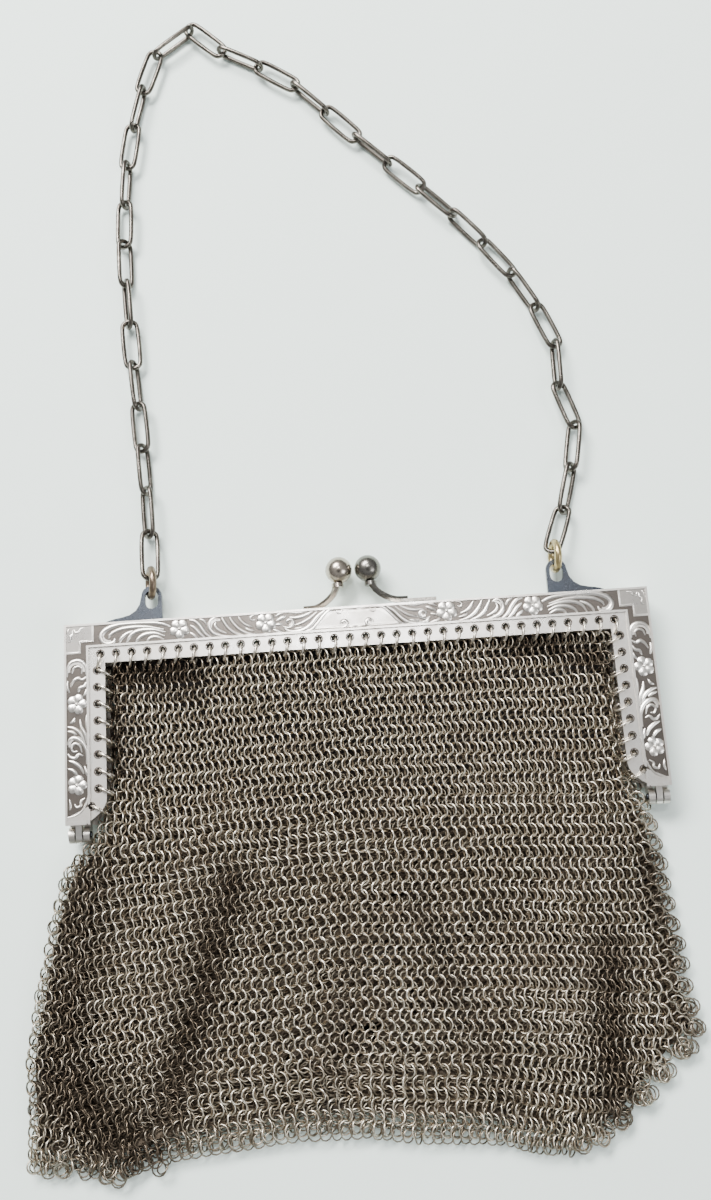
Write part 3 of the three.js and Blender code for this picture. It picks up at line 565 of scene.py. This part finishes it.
def smooth_path(points, steps):
    """Points on a smooth curve through the given ones, with the direction at each."""
    first, second, last_but_one, last = (Vector(points[i]) for i in (0, 1, -2, -1))
    run = [2 * first - second, *points, 2 * last - last_but_one]
    path = []
    for i in range(steps + 1):
        at = i / steps * (len(points) - 1)
        start = min(int(at), len(points) - 2)
        u = at - start
        a, b, c, d = (Vector(run[start + k]) for k in range(4))
        square, cube = 2 * a - 5 * b + 4 * c - d, 3 * b - a - 3 * c + d
        spot = 0.5 * (2 * b + (c - a) * u + square * u * u + cube * u ** 3)
        way = 0.5 * ((c - a) + 2 * square * u + 3 * cube * u * u)
        path.append((spot, way.normalized()))
    return path


def face_up(bm, verts):
    """Turns the faces of one stroke so that they look away from the frame."""
    faces = list({face for vert in verts for face in vert.link_faces})
    bmesh.ops.recalc_face_normals(bm, faces=faces)
    if sum(face.normal.z * face.calc_area() for face in faces) < 0:
        bmesh.ops.reverse_faces(bm, faces=faces)


def add_stroke(bm, put, side, width, height, points):
    steps = 5 * (len(points) - 1)
    path = smooth_path(points, steps)
    verts = bmesh.ops.create_grid(bm, x_segments=steps, y_segments=4, size=1)["verts"]
    for vert in verts:
        step = round((vert.co.x + 1) / 2 * steps)
        off = vert.co.y
        spot, way = path[step]
        swell = math.sin(math.pi * (0.08 + 0.84 * step / steps)) ** 0.6
        flank = Vector((-way.y, way.x)) * off * width * 0.68 * swell
        along, inset = spot + flank
        inset = min(BAND + 1.4, max(0.35, inset))
        crown = height * swell * (1 - abs(off) ** 2.2) - SUNK
        vert.co = put(side, along, inset, crown)
    bm.normal_update()
    face_up(bm, verts)


def add_flower(bm, put, side, along, inset, reach):
    for i in range(5):
        angle = 2 * math.pi * (i + 0.25) / 5
        way = Vector((math.cos(angle), math.sin(angle)))
        flank_way = Vector((-way.y, way.x))
        verts = bmesh.ops.create_grid(bm, x_segments=6, y_segments=4, size=1)["verts"]
        for vert in verts:
            out, off = (vert.co.x + 1) / 2, vert.co.y
            half = reach * 0.46 * math.sin(math.pi * (0.10 + 0.86 * out ** 1.3)) ** 0.7
            notch = 0.12 * reach * (1 - abs(off)) * (out > 0.99)
            spot = Vector((along, inset)) + way * (0.3 + (reach - 0.3) * out - notch) + flank_way * off * half
            crease = 0.10 * (1 - min(1, abs(off) * 2.5))
            swell = math.sin(math.pi * (0.2 + 0.7 * out))
            crown = 0.40 * (1 - abs(off) ** 2.5) * swell - crease - SUNK
            vert.co = put(side, spot.x, min(BAND - 0.35, max(0.35, spot.y)), crown)
        bm.normal_update()
        face_up(bm, verts)
    heart = bmesh.ops.create_icosphere(bm, subdivisions=2, radius=0.42 * MM)["verts"]
    bmesh.ops.translate(bm, verts=heart, vec=put(side, along, inset, 0.16))


def add_plate(bm, put, side, corners, height, rows=8):
    """A plain field between four corners, given in turn, a little above the ground of the ornament."""
    verts = bmesh.ops.create_grid(bm, x_segments=rows, y_segments=rows, size=1)["verts"]
    a, b, c, d = (Vector(corner) for corner in corners)
    for vert in verts:
        u, v = (vert.co.x + 1) / 2, (vert.co.y + 1) / 2
        along, inset = (a * (1 - u) + b * u) * (1 - v) + (d * (1 - u) + c * u) * v
        vert.co = put(side, along, inset, height)
    bm.normal_update()
    face_up(bm, verts)


# %% Relief
relief_bm = bmesh.new()
for side in (-1, 1):
    for put, strokes, flowers in ((on_bar, BAR_STROKES, BAR_FLOWERS), (on_leg, LEG_STROKES, LEG_FLOWERS)):
        for width, height, points in strokes:
            add_stroke(relief_bm, put, side, width, height, points)
        for along, inset, reach in flowers:
            add_flower(relief_bm, put, side, along, inset, reach)
    add_plate(relief_bm, on_bar, side, [(0, 0.9), (6.4, 0.9), (9.9, 4.6), (0, 4.6)], 0.09)
    add_plate(relief_bm, on_leg, side, [(0.5, 6.6), (0.5, 0.5), (4.1, 0.5), (4.1, 6.6)], 0.06)
    add_plate(relief_bm, on_leg, side, [(4.1, 3.6), (4.1, 0.5), (6.7, 0.5), (6.7, 3.6)], 0.06)
    add_plate(relief_bm, on_leg, side, [(45.5, 0.4), (47.1, 0.4), (47.1, 5.4), (43.2, 5.4)], 0.12)
for face in relief_bm.faces:
    face.smooth = True
relief = new_object("frame_relief", mesh_from(relief_bm, "frame_relief"))
relief.data.materials.append(silver)
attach(relief, "root")
print("relief", len(relief.data.polygons), "faces")

# %% [markdown]
# The plain panel is drawn with thin engraved lines, and each hole of the perforated edge has a dark rim:
# painted shade, which also stands for tarnish on the hole's bevel. Both are dark against the bright silver.

# %% Engraved lines and hole rims
LINES = [
    [(0, 1.15), (1.8, 1.15), (3.5, 1.15)],
    [(3.45, 0.6), (3.5, 1.4), (4.1, 1.75), (4.75, 1.3), (4.8, 0.75), (5.6, 0.72), (6.3, 0.95), (7.4, 2.1),
     (8.6, 3.5), (9.9, 4.5)],
    [(0, 4.6), (1.4, 4.6), (2.1, 4.55), (1.9, 3.9), (2.4, 3.25), (3.2, 3.1), (3.9, 3.6), (4.1, 4.4),
     (5.5, 4.5), (7.6, 4.5), (9.9, 4.5)],
    [(0, 5.35), (2.0, 5.4), (4.2, 5.45), (7.4, 5.4), (10.4, 5.35)],
    [(7.0, 0.6), (8.3, 1.7), (9.8, 3.3), (11.4, 4.9), (12.8, 5.5)],
]
RIM_OUT, RIM_IN = 1.06, 0.78
FLANGE_TOP = 8.4


def add_rim(bm, x, y, height):
    loops = []
    for reach in (RIM_OUT, RIM_IN):
        ring = bmesh.ops.create_circle(bm, segments=14, radius=reach * MM)["verts"]
        bmesh.ops.translate(bm, verts=ring, vec=place(x, y, height))
        loops += list({edge for vert in ring for edge in vert.link_edges})
    faces = bmesh.ops.bridge_loops(bm, edges=loops)["faces"]
    bm.normal_update()
    bmesh.ops.reverse_faces(bm, faces=[face for face in faces if face.normal.z < 0])


TOP_HOLES, LEG_HOLES = 34, 9
HOLE_PITCH = 3.73
HOLE_LINE = 7.4
LEG_PITCH = 3.98
END_HOLE_SHIFT = 1.7
LINE_WIDTH = LINE_HEIGHT = 0.2


def hole_places():
    """For each hole: its place in millimetres, and the direction in which its ring hangs."""
    rows = []
    for i in range(TOP_HOLES):
        rows.append(((i - (TOP_HOLES - 1) / 2) * HOLE_PITCH, -HOLE_LINE, -104 + 5 * math.sin(i)))
    for side in (-1, 1):
        for i in range(1, LEG_HOLES + 1):
            down = HOLE_LINE + i * LEG_PITCH
            inset = HOLE_LINE + 0.3 - (END_HOLE_SHIFT if i == LEG_HOLES else 0)
            rows.append((side * (LEG_EDGE + LEG_SPLAY * down - inset), -down, -90 - side * 62))
    return rows


line_bm = bmesh.new()
for side in (-1, 1):
    for points in LINES:
        add_stroke(line_bm, on_bar, side, LINE_WIDTH, LINE_HEIGHT, points)
# Each hole gets a dark rim of painted shade.
for x, y, _ in hole_places():
    add_rim(line_bm, x, y, FLANGE_TOP + SUNK)
for face in line_bm.faces:
    face.smooth = True
lines = new_object("frame_lines", mesh_from(line_bm, "frame_lines"))
black_tarnish_and_hole_shade = old_metal("black_tarnish_and_hole_shade", (0.085, 0.07, 0.06), (0.03, 0.025, 0.02), 0.5, 1.5, 0.55, 0.75)
lines.data.materials.append(black_tarnish_and_hole_shade)
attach(lines, "root")
print("lines", len(lines.data.polygons), "faces")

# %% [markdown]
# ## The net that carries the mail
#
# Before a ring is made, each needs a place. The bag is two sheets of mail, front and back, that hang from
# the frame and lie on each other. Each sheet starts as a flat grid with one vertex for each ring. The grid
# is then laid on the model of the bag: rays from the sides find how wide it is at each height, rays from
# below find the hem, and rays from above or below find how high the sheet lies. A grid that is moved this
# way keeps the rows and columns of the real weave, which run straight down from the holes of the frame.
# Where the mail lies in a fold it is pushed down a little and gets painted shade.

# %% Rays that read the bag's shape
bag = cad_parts["mesh_bag"]
bag_tree = BVHTree.FromObject(bag, bpy.context.evaluated_depsgraph_get())
bag_low, bag_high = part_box("mesh_bag")
FAR = 0.3


def ray(start, way, otherwise):
    hit = bag_tree.ray_cast(start, way)[0]
    return hit if hit is not None else otherwise


RAY_HEIGHT = HOME.z + 2.2 * MM


def side_x(y, sign):
    """Where the bag's side lies at one height down the bag, in metres."""
    start = Vector((sign * FAR, y, RAY_HEIGHT))
    return ray(start, Vector((-sign, 0, 0)), Vector((sign * 0.06, y, 0))).x


def mail_side(y, sign):
    """Where the mail's side lies: the bag's side, but out to the perforated edge between the legs."""
    inside = min(1.0, max(0.0, (y - (HOME.y - 50 * MM)) / (8 * MM)))
    return side_x(y, sign) + sign * (1.7 * inside - 0.2) * MM


def hem_y(x):
    start = Vector((x, -FAR, RAY_HEIGHT))
    return ray(start, Vector((0, 1, 0)), Vector((x, bag_low.y, 0))).y


def sheet_z(x, y, sign):
    start = Vector((x, y, sign * FAR))
    return ray(start, Vector((0, 0, -sign)), Vector((x, y, HOME.z + 2.5 * MM))).z


# %% Lay the grid on the bag
COLUMNS = 66
ROWS = 46
MOUTH = HOME.y - 11.2 * MM
RING_WIDE = 3.6 * MM
WIRE = 0.42 * MM
HEM_STEPS = 40
random.seed(7)


def wander(x, y, size, seed):
    """A slow drift of the weave, at most about one."""
    return noise.noise(Vector((x / size, y / size, seed)))


FOLDS = [
    # from x and down, to x and down, half width and depth, in millimetres
    (-33, 63, -51, 115, 5.0, 0.9),
    (53, 84, 51, 118, 5.0, 1.0),
    (-67, 58, -75, 108, 7.0, 0.8),
    (-73, 106, -56, 122, 9.0, 1.0),
    (67, 66, 78, 104, 8.0, 0.8),
    (-60, 11, -42, 14, 6.0, 1.0),
    (38, 11, 60, 18, 5.0, 0.8),
    (-60, 14, -60, 36, 3.5, 0.9),
    (10, 70, 26, 116, 3.5, 0.45),
    (-8, 84, -14, 118, 3.0, 0.4),
]


def fold_depth(x, y):
    """How deep a place of the sheet lies in a fold, in millimetres."""
    spot = (Vector((x, y)) - HOME.xy) / MM
    depth = 0.0
    for x0, down0, x1, down1, wide, deep in FOLDS:
        start, end = Vector((x0, -down0)), Vector((x1, -down1))
        share = min(1.0, max(0.0, (spot - start).dot(end - start) / (end - start).length_squared))
        gap = (spot - start.lerp(end, share)).length
        depth = max(depth, deep * math.exp(-((gap / wide) ** 2)))
    return depth


def lay_net(sign, low_row, high_row, deeper=0.0):
    """Some rows of the front (1) or back (-1) sheet, as a grid whose vertices are the rings' places."""
    bm = bmesh.new()
    bmesh.ops.create_grid(bm, x_segments=COLUMNS - 1, y_segments=high_row - low_row - 1, size=1)
    hems = []
    for i in range(HEM_STEPS + 1):
        x = bag_low.x + (bag_high.x - bag_low.x) * (0.01 + 0.98 * i / HEM_STEPS)
        hems.append(hem_y(x))
    slip = 0.5 if deeper else 0.0
    middle = HOME.z + 2.3 * MM
    for vert in bm.verts:
        column = round((vert.co.x + 1) / 2 * (COLUMNS - 1))
        row = low_row + round((1 - vert.co.y) / 2 * (high_row - low_row - 1))
        across = (column + 0.5 + 0.8 * slip + (0.25 if row % 2 else -0.25)) / COLUMNS
        down = (row + 0.9 * slip) / (ROWS - 1)
        spread = 0.20 * down
        across += spread * math.sin(2 * math.pi * (across - 0.5)) / (2 * math.pi)
        bottom = MOUTH
        x = 0.0
        for _ in range(3):
            x = mail_side(bottom, -1) * (1 - across) + mail_side(bottom, 1) * across
            along = (x - bag_low.x) / (bag_high.x - bag_low.x) * HEM_STEPS
            step = min(HEM_STEPS - 1, max(0, int(along)))
            share = min(1, max(0, along - step))
            bottom = hems[step] * (1 - share) + hems[step + 1] * share + 1.2 * MM
        y = MOUTH + (bottom - MOUTH) * down
        left, right_side = mail_side(y, -1), mail_side(y, 1)
        x = left * (1 - across) + right_side * across
        edge = min(x - left, right_side - x, (y - bottom) + 0.6 * MM) + 0.5 * MM
        x += 0.7 * MM * wander(x, y, 0.014, 3.0 + sign)
        y += 0.5 * MM * wander(x, y, 0.012, 9.0 + sign)
        face = sheet_z(x, y, sign) - sign * (0.9 + deeper + fold_depth(x, y)) * MM
        face = max(face, middle if sign > 0 else HOME.z + 1.8 * MM)
        roll = min(1.0, max(0.0, edge / (4.0 * MM)))
        vert.co = (x, y, middle + (face - middle) * math.sqrt(1 - (1 - roll) ** 2))
    return bm


# %% [markdown]
# ## One ring, and how it leans
#
# The ring is a short turn of wire: a four-sided wire section spun once round. In real mail each ring passes
# through two rings of the row above and two of the row below, so the rings lean like fallen dominoes, one
# row to the left and the next to the right. This draws the rows of curved strokes that the eye reads as
# mail. Here the rings get the same lean, and a little more than half of them pass through four others; the
# rest pass through fewer, and some wires cut into each other. Where the bag is pulled wide the rings lie
# flatter. Each ring also gets small errors of its own, larger towards the hem, where nothing pulls on it.


# %% One ring
def make_ring(name, wide, wire, steps=14, sides=4):
    bm = bmesh.new()
    section = bmesh.ops.create_circle(bm, segments=sides, radius=wire / 2)["verts"]
    bmesh.ops.rotate(bm, verts=section, matrix=Matrix.Rotation(math.pi / 2, 3, "X"))
    bmesh.ops.translate(bm, verts=section, vec=((wide - wire) / 2, 0, 0))
    bmesh.ops.spin(bm, geom=bm.verts[:] + bm.edges[:], cent=(0, 0, 0), axis=(0, 0, 1), angle=2 * math.pi,
                   steps=steps, use_merge=True)
    bmesh.ops.recalc_face_normals(bm, faces=bm.faces)
    # outer runs from 0 on one side of the ring to 1 on the other; the mail's wire paints shade where it is
    # low.
    outer = bm.verts.layers.float.new("outer")
    for vert in bm.verts:
        vert[outer] = 0.5 + vert.co.x / wide
    print(name, len(bm.faces), "faces")
    return new_object(name, mesh_from(bm, name))


mail_ring = make_ring("mail_ring", RING_WIDE, WIRE)


# %% Turn of each ring
def ring_turn(across_way, down_way, lean, swing, over=False):
    """The turn of a ring on the sheet, leaning sideways and swung a little; over turns it end for end."""
    outward = across_way.cross(down_way).normalized()
    base = Matrix((across_way, outward.cross(across_way), outward)).transposed()
    turned = base @ Matrix.Rotation(swing, 3, "Z") @ Matrix.Rotation(lean, 3, "Y")
    return (turned @ Matrix.Rotation(math.pi if over else 0, 3, "Z")).to_euler()


def write_turns(mesh, turns):
    attribute = mesh.attributes.new("turn", "FLOAT_VECTOR", "POINT")
    attribute.data.foreach_set("vector", [v for turn in turns for v in turn])


def turn_rings(bm, sign, low_row, name):
    """Makes the net a mesh with a turn for each of its vertices."""
    bm.verts.ensure_lookup_table()
    rows = len(bm.verts) // COLUMNS
    turns = []
    for i in range(len(bm.verts)):
        row_up, column = divmod(i, COLUMNS)
        row = low_row + (rows - 1 - row_up)
        before = bm.verts[i - 1] if column > 0 else bm.verts[i]
        after = bm.verts[i + 1] if column < COLUMNS - 1 else bm.verts[i]
        above = bm.verts[i + COLUMNS] if row_up < rows - 1 else bm.verts[i]
        below = bm.verts[i - COLUMNS] if row_up > 0 else bm.verts[i]
        pitch = (after.co - before.co).length / (2 if 0 < column < COLUMNS - 1 else 1)
        across_way = (after.co - before.co).normalized()
        up_way = (above.co - below.co)
        up_way = (up_way - across_way * up_way.dot(across_way)).normalized()
        lean = math.radians(36 - 7 * (pitch / MM - 1.8) / 0.5)
        lean = max(math.radians(19), lean) * (1 if row % 2 else -1)
        loose = 1 + 2.2 * max(0.0, row / (ROWS - 1) - 0.8) / 0.2
        lean += random.gauss(0, math.radians(5)) * loose
        swing = random.gauss(0, math.radians(4)) * loose
        # over turns a ring end for end, so that its painted shade lies on the side under its neighbours.
        turns.append(ring_turn(across_way, up_way, lean, swing, (lean > 0) == (sign > 0)))
    for vert in bm.verts:
        step = Vector((random.gauss(0, 0.08), random.gauss(0, 0.08), random.gauss(0, 0.05)))
        vert.co += step * MM
    # Each ring's darkening: painted shade by how deep it lies in a fold, plus a little random dirt.
    fold_shade_and_dirt = []
    for vert in bm.verts:
        darkening = fold_depth(vert.co.x, vert.co.y) + random.uniform(-0.1, 0.25)
        fold_shade_and_dirt.append(min(1.0, max(0.0, darkening)))
    mesh = mesh_from(bm, name)
    write_turns(mesh, turns)
    mesh.attributes.new("darkening", "FLOAT", "POINT").data.foreach_set("value", fold_shade_and_dirt)
    return mesh


# %% [markdown]
# ## Hanging the rings on the net
#
# Nine thousand rings are too many to place by hand or by loops over objects. A small Geometry Nodes group
# does it: it puts one copy of the ring on each vertex, turned as the vertex says, and makes the copies
# real. The result is then kept as a plain mesh. Under the front sheet lies a second, darker net, moved by
# half a ring, so that the mail looks as dense as in the picture. It is a guess: a real bag may have only
# its front and its back.


# %% Rings on the net
def make_hanging_group():
    group = bpy.data.node_groups.new("Rings on net", "GeometryNodeTree")
    group.interface.new_socket("Geometry", in_out="INPUT", socket_type="NodeSocketGeometry")
    group.interface.new_socket("Ring", in_out="INPUT", socket_type="NodeSocketObject")
    group.interface.new_socket("Geometry", in_out="OUTPUT", socket_type="NodeSocketGeometry")
    nodes, links = group.nodes, group.links
    given, out = nodes.new("NodeGroupInput"), nodes.new("NodeGroupOutput")
    ring = nodes.new("GeometryNodeObjectInfo")
    turn = nodes.new("GeometryNodeInputNamedAttribute")
    turn.data_type = "FLOAT_VECTOR"
    turn.inputs["Name"].default_value = "turn"
    copies = nodes.new("GeometryNodeInstanceOnPoints")
    real = nodes.new("GeometryNodeRealizeInstances")
    links.new(given.outputs["Geometry"], copies.inputs["Points"])
    links.new(given.outputs["Ring"], ring.inputs["Object"])
    links.new(ring.outputs["Geometry"], copies.inputs["Instance"])
    links.new(turn.outputs["Attribute"], copies.inputs["Rotation"])
    links.new(copies.outputs["Instances"], real.inputs["Geometry"])
    links.new(real.outputs["Geometry"], out.inputs["Geometry"])
    return group


hanging_group = make_hanging_group()


def hang_rings(net_mesh, ring, name, material):
    net = new_object(name + "_net", net_mesh)
    modifier = net.modifiers.new("rings", "NODES")
    modifier.node_group = hanging_group
    socket = next(s for s in hanging_group.interface.items_tree if s.name == "Ring")
    modifier[socket.identifier] = ring
    bpy.context.view_layer.update()
    shown = net.evaluated_get(bpy.context.evaluated_depsgraph_get())
    mesh = bpy.data.meshes.new_from_object(shown)
    bpy.data.objects.remove(net)
    mesh.materials.clear()
    mesh.materials.append(material)
    if "turn" in mesh.attributes:
        mesh.attributes.remove(mesh.attributes["turn"])
    mesh.shade_smooth()
    piece = new_object(name, mesh)
    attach(piece, "root")
    print(name, len(mesh.polygons), "faces")
    return piece


plain_ring = make_ring("plain_ring", RING_WIDE, WIRE, steps=11, sides=3)
HALF_WAY = ROWS // 2
UNDER_DEPTH = 1.9
for sheet, sign, deeper, ring, metal in (
        ("front", 1, 0.0, mail_ring, mail_metal), ("under", 1, UNDER_DEPTH, plain_ring, shaded_under_metal),
        ("back", -1, 0.0, plain_ring, mail_metal)):
    for part, low_row, high_row in (("upper", 0, HALF_WAY), ("lower", HALF_WAY, ROWS)):
        name = f"mail_{sheet}_{part}"
        net_bm = lay_net(sign, low_row, high_row, deeper)
        piece = hang_rings(turn_rings(net_bm, sign, low_row, name), ring, name, metal)
        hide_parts("mesh_bag")
bpy.data.objects.remove(mail_ring)
bpy.data.objects.remove(plain_ring)

# %% [markdown]
# ## Rings that hold the mail to the frame
#
# Through every hole of the frame's perforated edge goes one ring that carries the mail. Seen from the front
# it is almost edge on, so it looks like a short slanting stitch from the hole over the edge. They are hung
# as the mail is, on a net that has one vertex in each ring's middle; both halves of the frame have the same
# holes.

# %% Stitch rings
stitch_ring = make_ring("stitch_ring", 4.4 * MM, 0.68 * MM, steps=16)
for sheet, sign, height in (("front", 1, 7.9), ("back", -1, 2.7)):
    bm = bmesh.new()
    turns = []
    for x, y, heading in hole_places():
        way = Vector((math.cos(math.radians(heading)), math.sin(math.radians(heading)), 0))
        middle = place(x, y, height) + way * 1.75 * MM
        bm.verts.new(middle)
        side_way = way.cross(Vector((0, 0, 1)))
        lean = math.radians(90 - random.uniform(8, 20))
        turns.append(ring_turn(side_way, way, lean, 0))
    mesh = mesh_from(bm, f"stitches_{sheet}")
    write_turns(mesh, turns)
    hang_rings(mesh, stitch_ring, f"stitches_{sheet}", stitch_metal)
bpy.data.objects.remove(stitch_ring)

# %% [markdown]
# ## Lining
#
# Between the rings the gaps look black and brown, not like the pale surface, so there may be something dark
# inside the bag. A thin dark cloth lining is a guess that does it. It is a flat grid laid on the bag in the
# same way as the net, a little inside the mail, one sheet for the front and one for the back.


# %% Lining
def make_lining_group():
    """Dark woven cloth: fine threads both ways, faded brown in clouds, with painted shadow that makes it
    nearly black under the frame.
    """
    group = bpy.data.node_groups.new("Lining", "ShaderNodeTree")
    group.interface.new_socket("Color", in_out="OUTPUT", socket_type="NodeSocketColor")
    group.interface.new_socket("Height", in_out="OUTPUT", socket_type="NodeSocketFloat")
    nodes, links = group.nodes, group.links
    out, place_on = nodes.new("NodeGroupOutput"), nodes.new("ShaderNodeTexCoord")
    threads = []
    for way in ("X", "Y"):
        wave = nodes.new("ShaderNodeTexWave")
        wave.bands_direction = way
        wave.inputs["Scale"].default_value = 500
        wave.inputs["Distortion"].default_value = 1.5
        links.new(place_on.outputs["Object"], wave.inputs["Vector"])
        threads.append(wave)
    weave, clouds = nodes.new("ShaderNodeMath"), nodes.new("ShaderNodeTexNoise")
    fade = nodes.new("ShaderNodeValToRGB")
    weave.operation = "MULTIPLY"
    clouds.inputs["Scale"].default_value = 120
    clouds.inputs["Detail"].default_value = 4
    split, frame_shadow_fade = nodes.new("ShaderNodeSeparateXYZ"), nodes.new("ShaderNodeMapRange")
    tone = nodes.new("ShaderNodeMath")
    # Painted shadow: the cloth darkens from 60 mm below the frame's top edge up to 15 mm below it, where it is
    # nearly black.
    frame_shadow_fade.inputs["From Min"].default_value = HOME.y - 15 * MM
    frame_shadow_fade.inputs["From Max"].default_value = HOME.y - 60 * MM
    tone.operation = "MULTIPLY"
    fade.color_ramp.elements[0].color = (0.008, 0.006, 0.005, 1)
    fade.color_ramp.elements[1].color = (0.070, 0.052, 0.034, 1)
    fade.color_ramp.elements[0].position = 0.18
    fade.color_ramp.elements[1].position = 0.62
    links.new(threads[0].outputs["Fac"], weave.inputs[0])
    links.new(threads[1].outputs["Fac"], weave.inputs[1])
    links.new(place_on.outputs["Object"], clouds.inputs["Vector"])
    links.new(place_on.outputs["Object"], split.inputs[0])
    links.new(split.outputs["Y"], frame_shadow_fade.inputs["Value"])
    links.new(clouds.outputs["Fac"], tone.inputs[0])
    links.new(frame_shadow_fade.outputs["Result"], tone.inputs[1])
    links.new(tone.outputs[0], fade.inputs["Fac"])
    links.new(fade.outputs["Color"], out.inputs["Color"])
    links.new(weave.outputs[0], out.inputs["Height"])
    return group


lining_cloth = new_material("lining_cloth", (0.035, 0.028, 0.020), 0.9)
lining_nodes, lining_links = lining_cloth.node_tree.nodes, lining_cloth.node_tree.links
weave = lining_nodes.new("ShaderNodeGroup")
weave.node_tree = make_lining_group()
threads = lining_nodes.new("ShaderNodeBump")
threads.inputs["Strength"].default_value = 0.4
threads.inputs["Distance"].default_value = 0.0002
lining_links.new(weave.outputs["Color"], lining_nodes["Principled BSDF"].inputs["Base Color"])
lining_links.new(weave.outputs["Height"], threads.inputs["Height"])
lining_links.new(threads.outputs["Normal"], lining_nodes["Principled BSDF"].inputs["Normal"])


LINING_HEM = 5 * MM
LINING_INSET = 1.6 * MM
LINING_DEPTH = {1: 4.2 * MM, -1: 1.2 * MM}


def make_lining(name, sign):
    bm = bmesh.new()
    start = HOME.y - 9.0 * MM
    middle = HOME.z + 2.6 * MM
    bmesh.ops.create_grid(bm, x_segments=60, y_segments=50, size=1)
    for vert in bm.verts:
        across, down = (vert.co.x + 1) / 2, (1 - vert.co.y) / 2
        x = bag_low.x + (bag_high.x - bag_low.x) * (0.02 + 0.96 * across)
        y = start + (hem_y(x) + LINING_HEM - start) * down
        left = mail_side(min(y, MOUTH), -1) + LINING_INSET
        right_side = mail_side(min(y, MOUTH), 1) - LINING_INSET
        x = left * (1 - across) + right_side * across
        hem = hem_y(x) + LINING_HEM
        y = start + (hem - start) * down
        edge = min(x - left, right_side - x, y - hem)
        face = sheet_z(x, min(y, MOUTH), sign) - sign * LINING_DEPTH[sign]
        face = max(face, HOME.z + 1.2 * MM)
        roll = min(1.0, max(0.0, edge / (4.0 * MM)))
        vert.co = (x, y, middle + (face - middle) * math.sqrt(1 - (1 - roll) ** 2) * 0.9)
    for face in bm.faces:
        face.smooth = True
    bmesh.ops.recalc_face_normals(bm, faces=bm.faces)
    piece = new_object(name, mesh_from(bm, name))
    piece.data.materials.append(lining_cloth)
    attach(piece, "root")
    return piece


for name, sign in (("lining_front", 1), ("lining_back", -1)):
    lining = make_lining(name, sign)
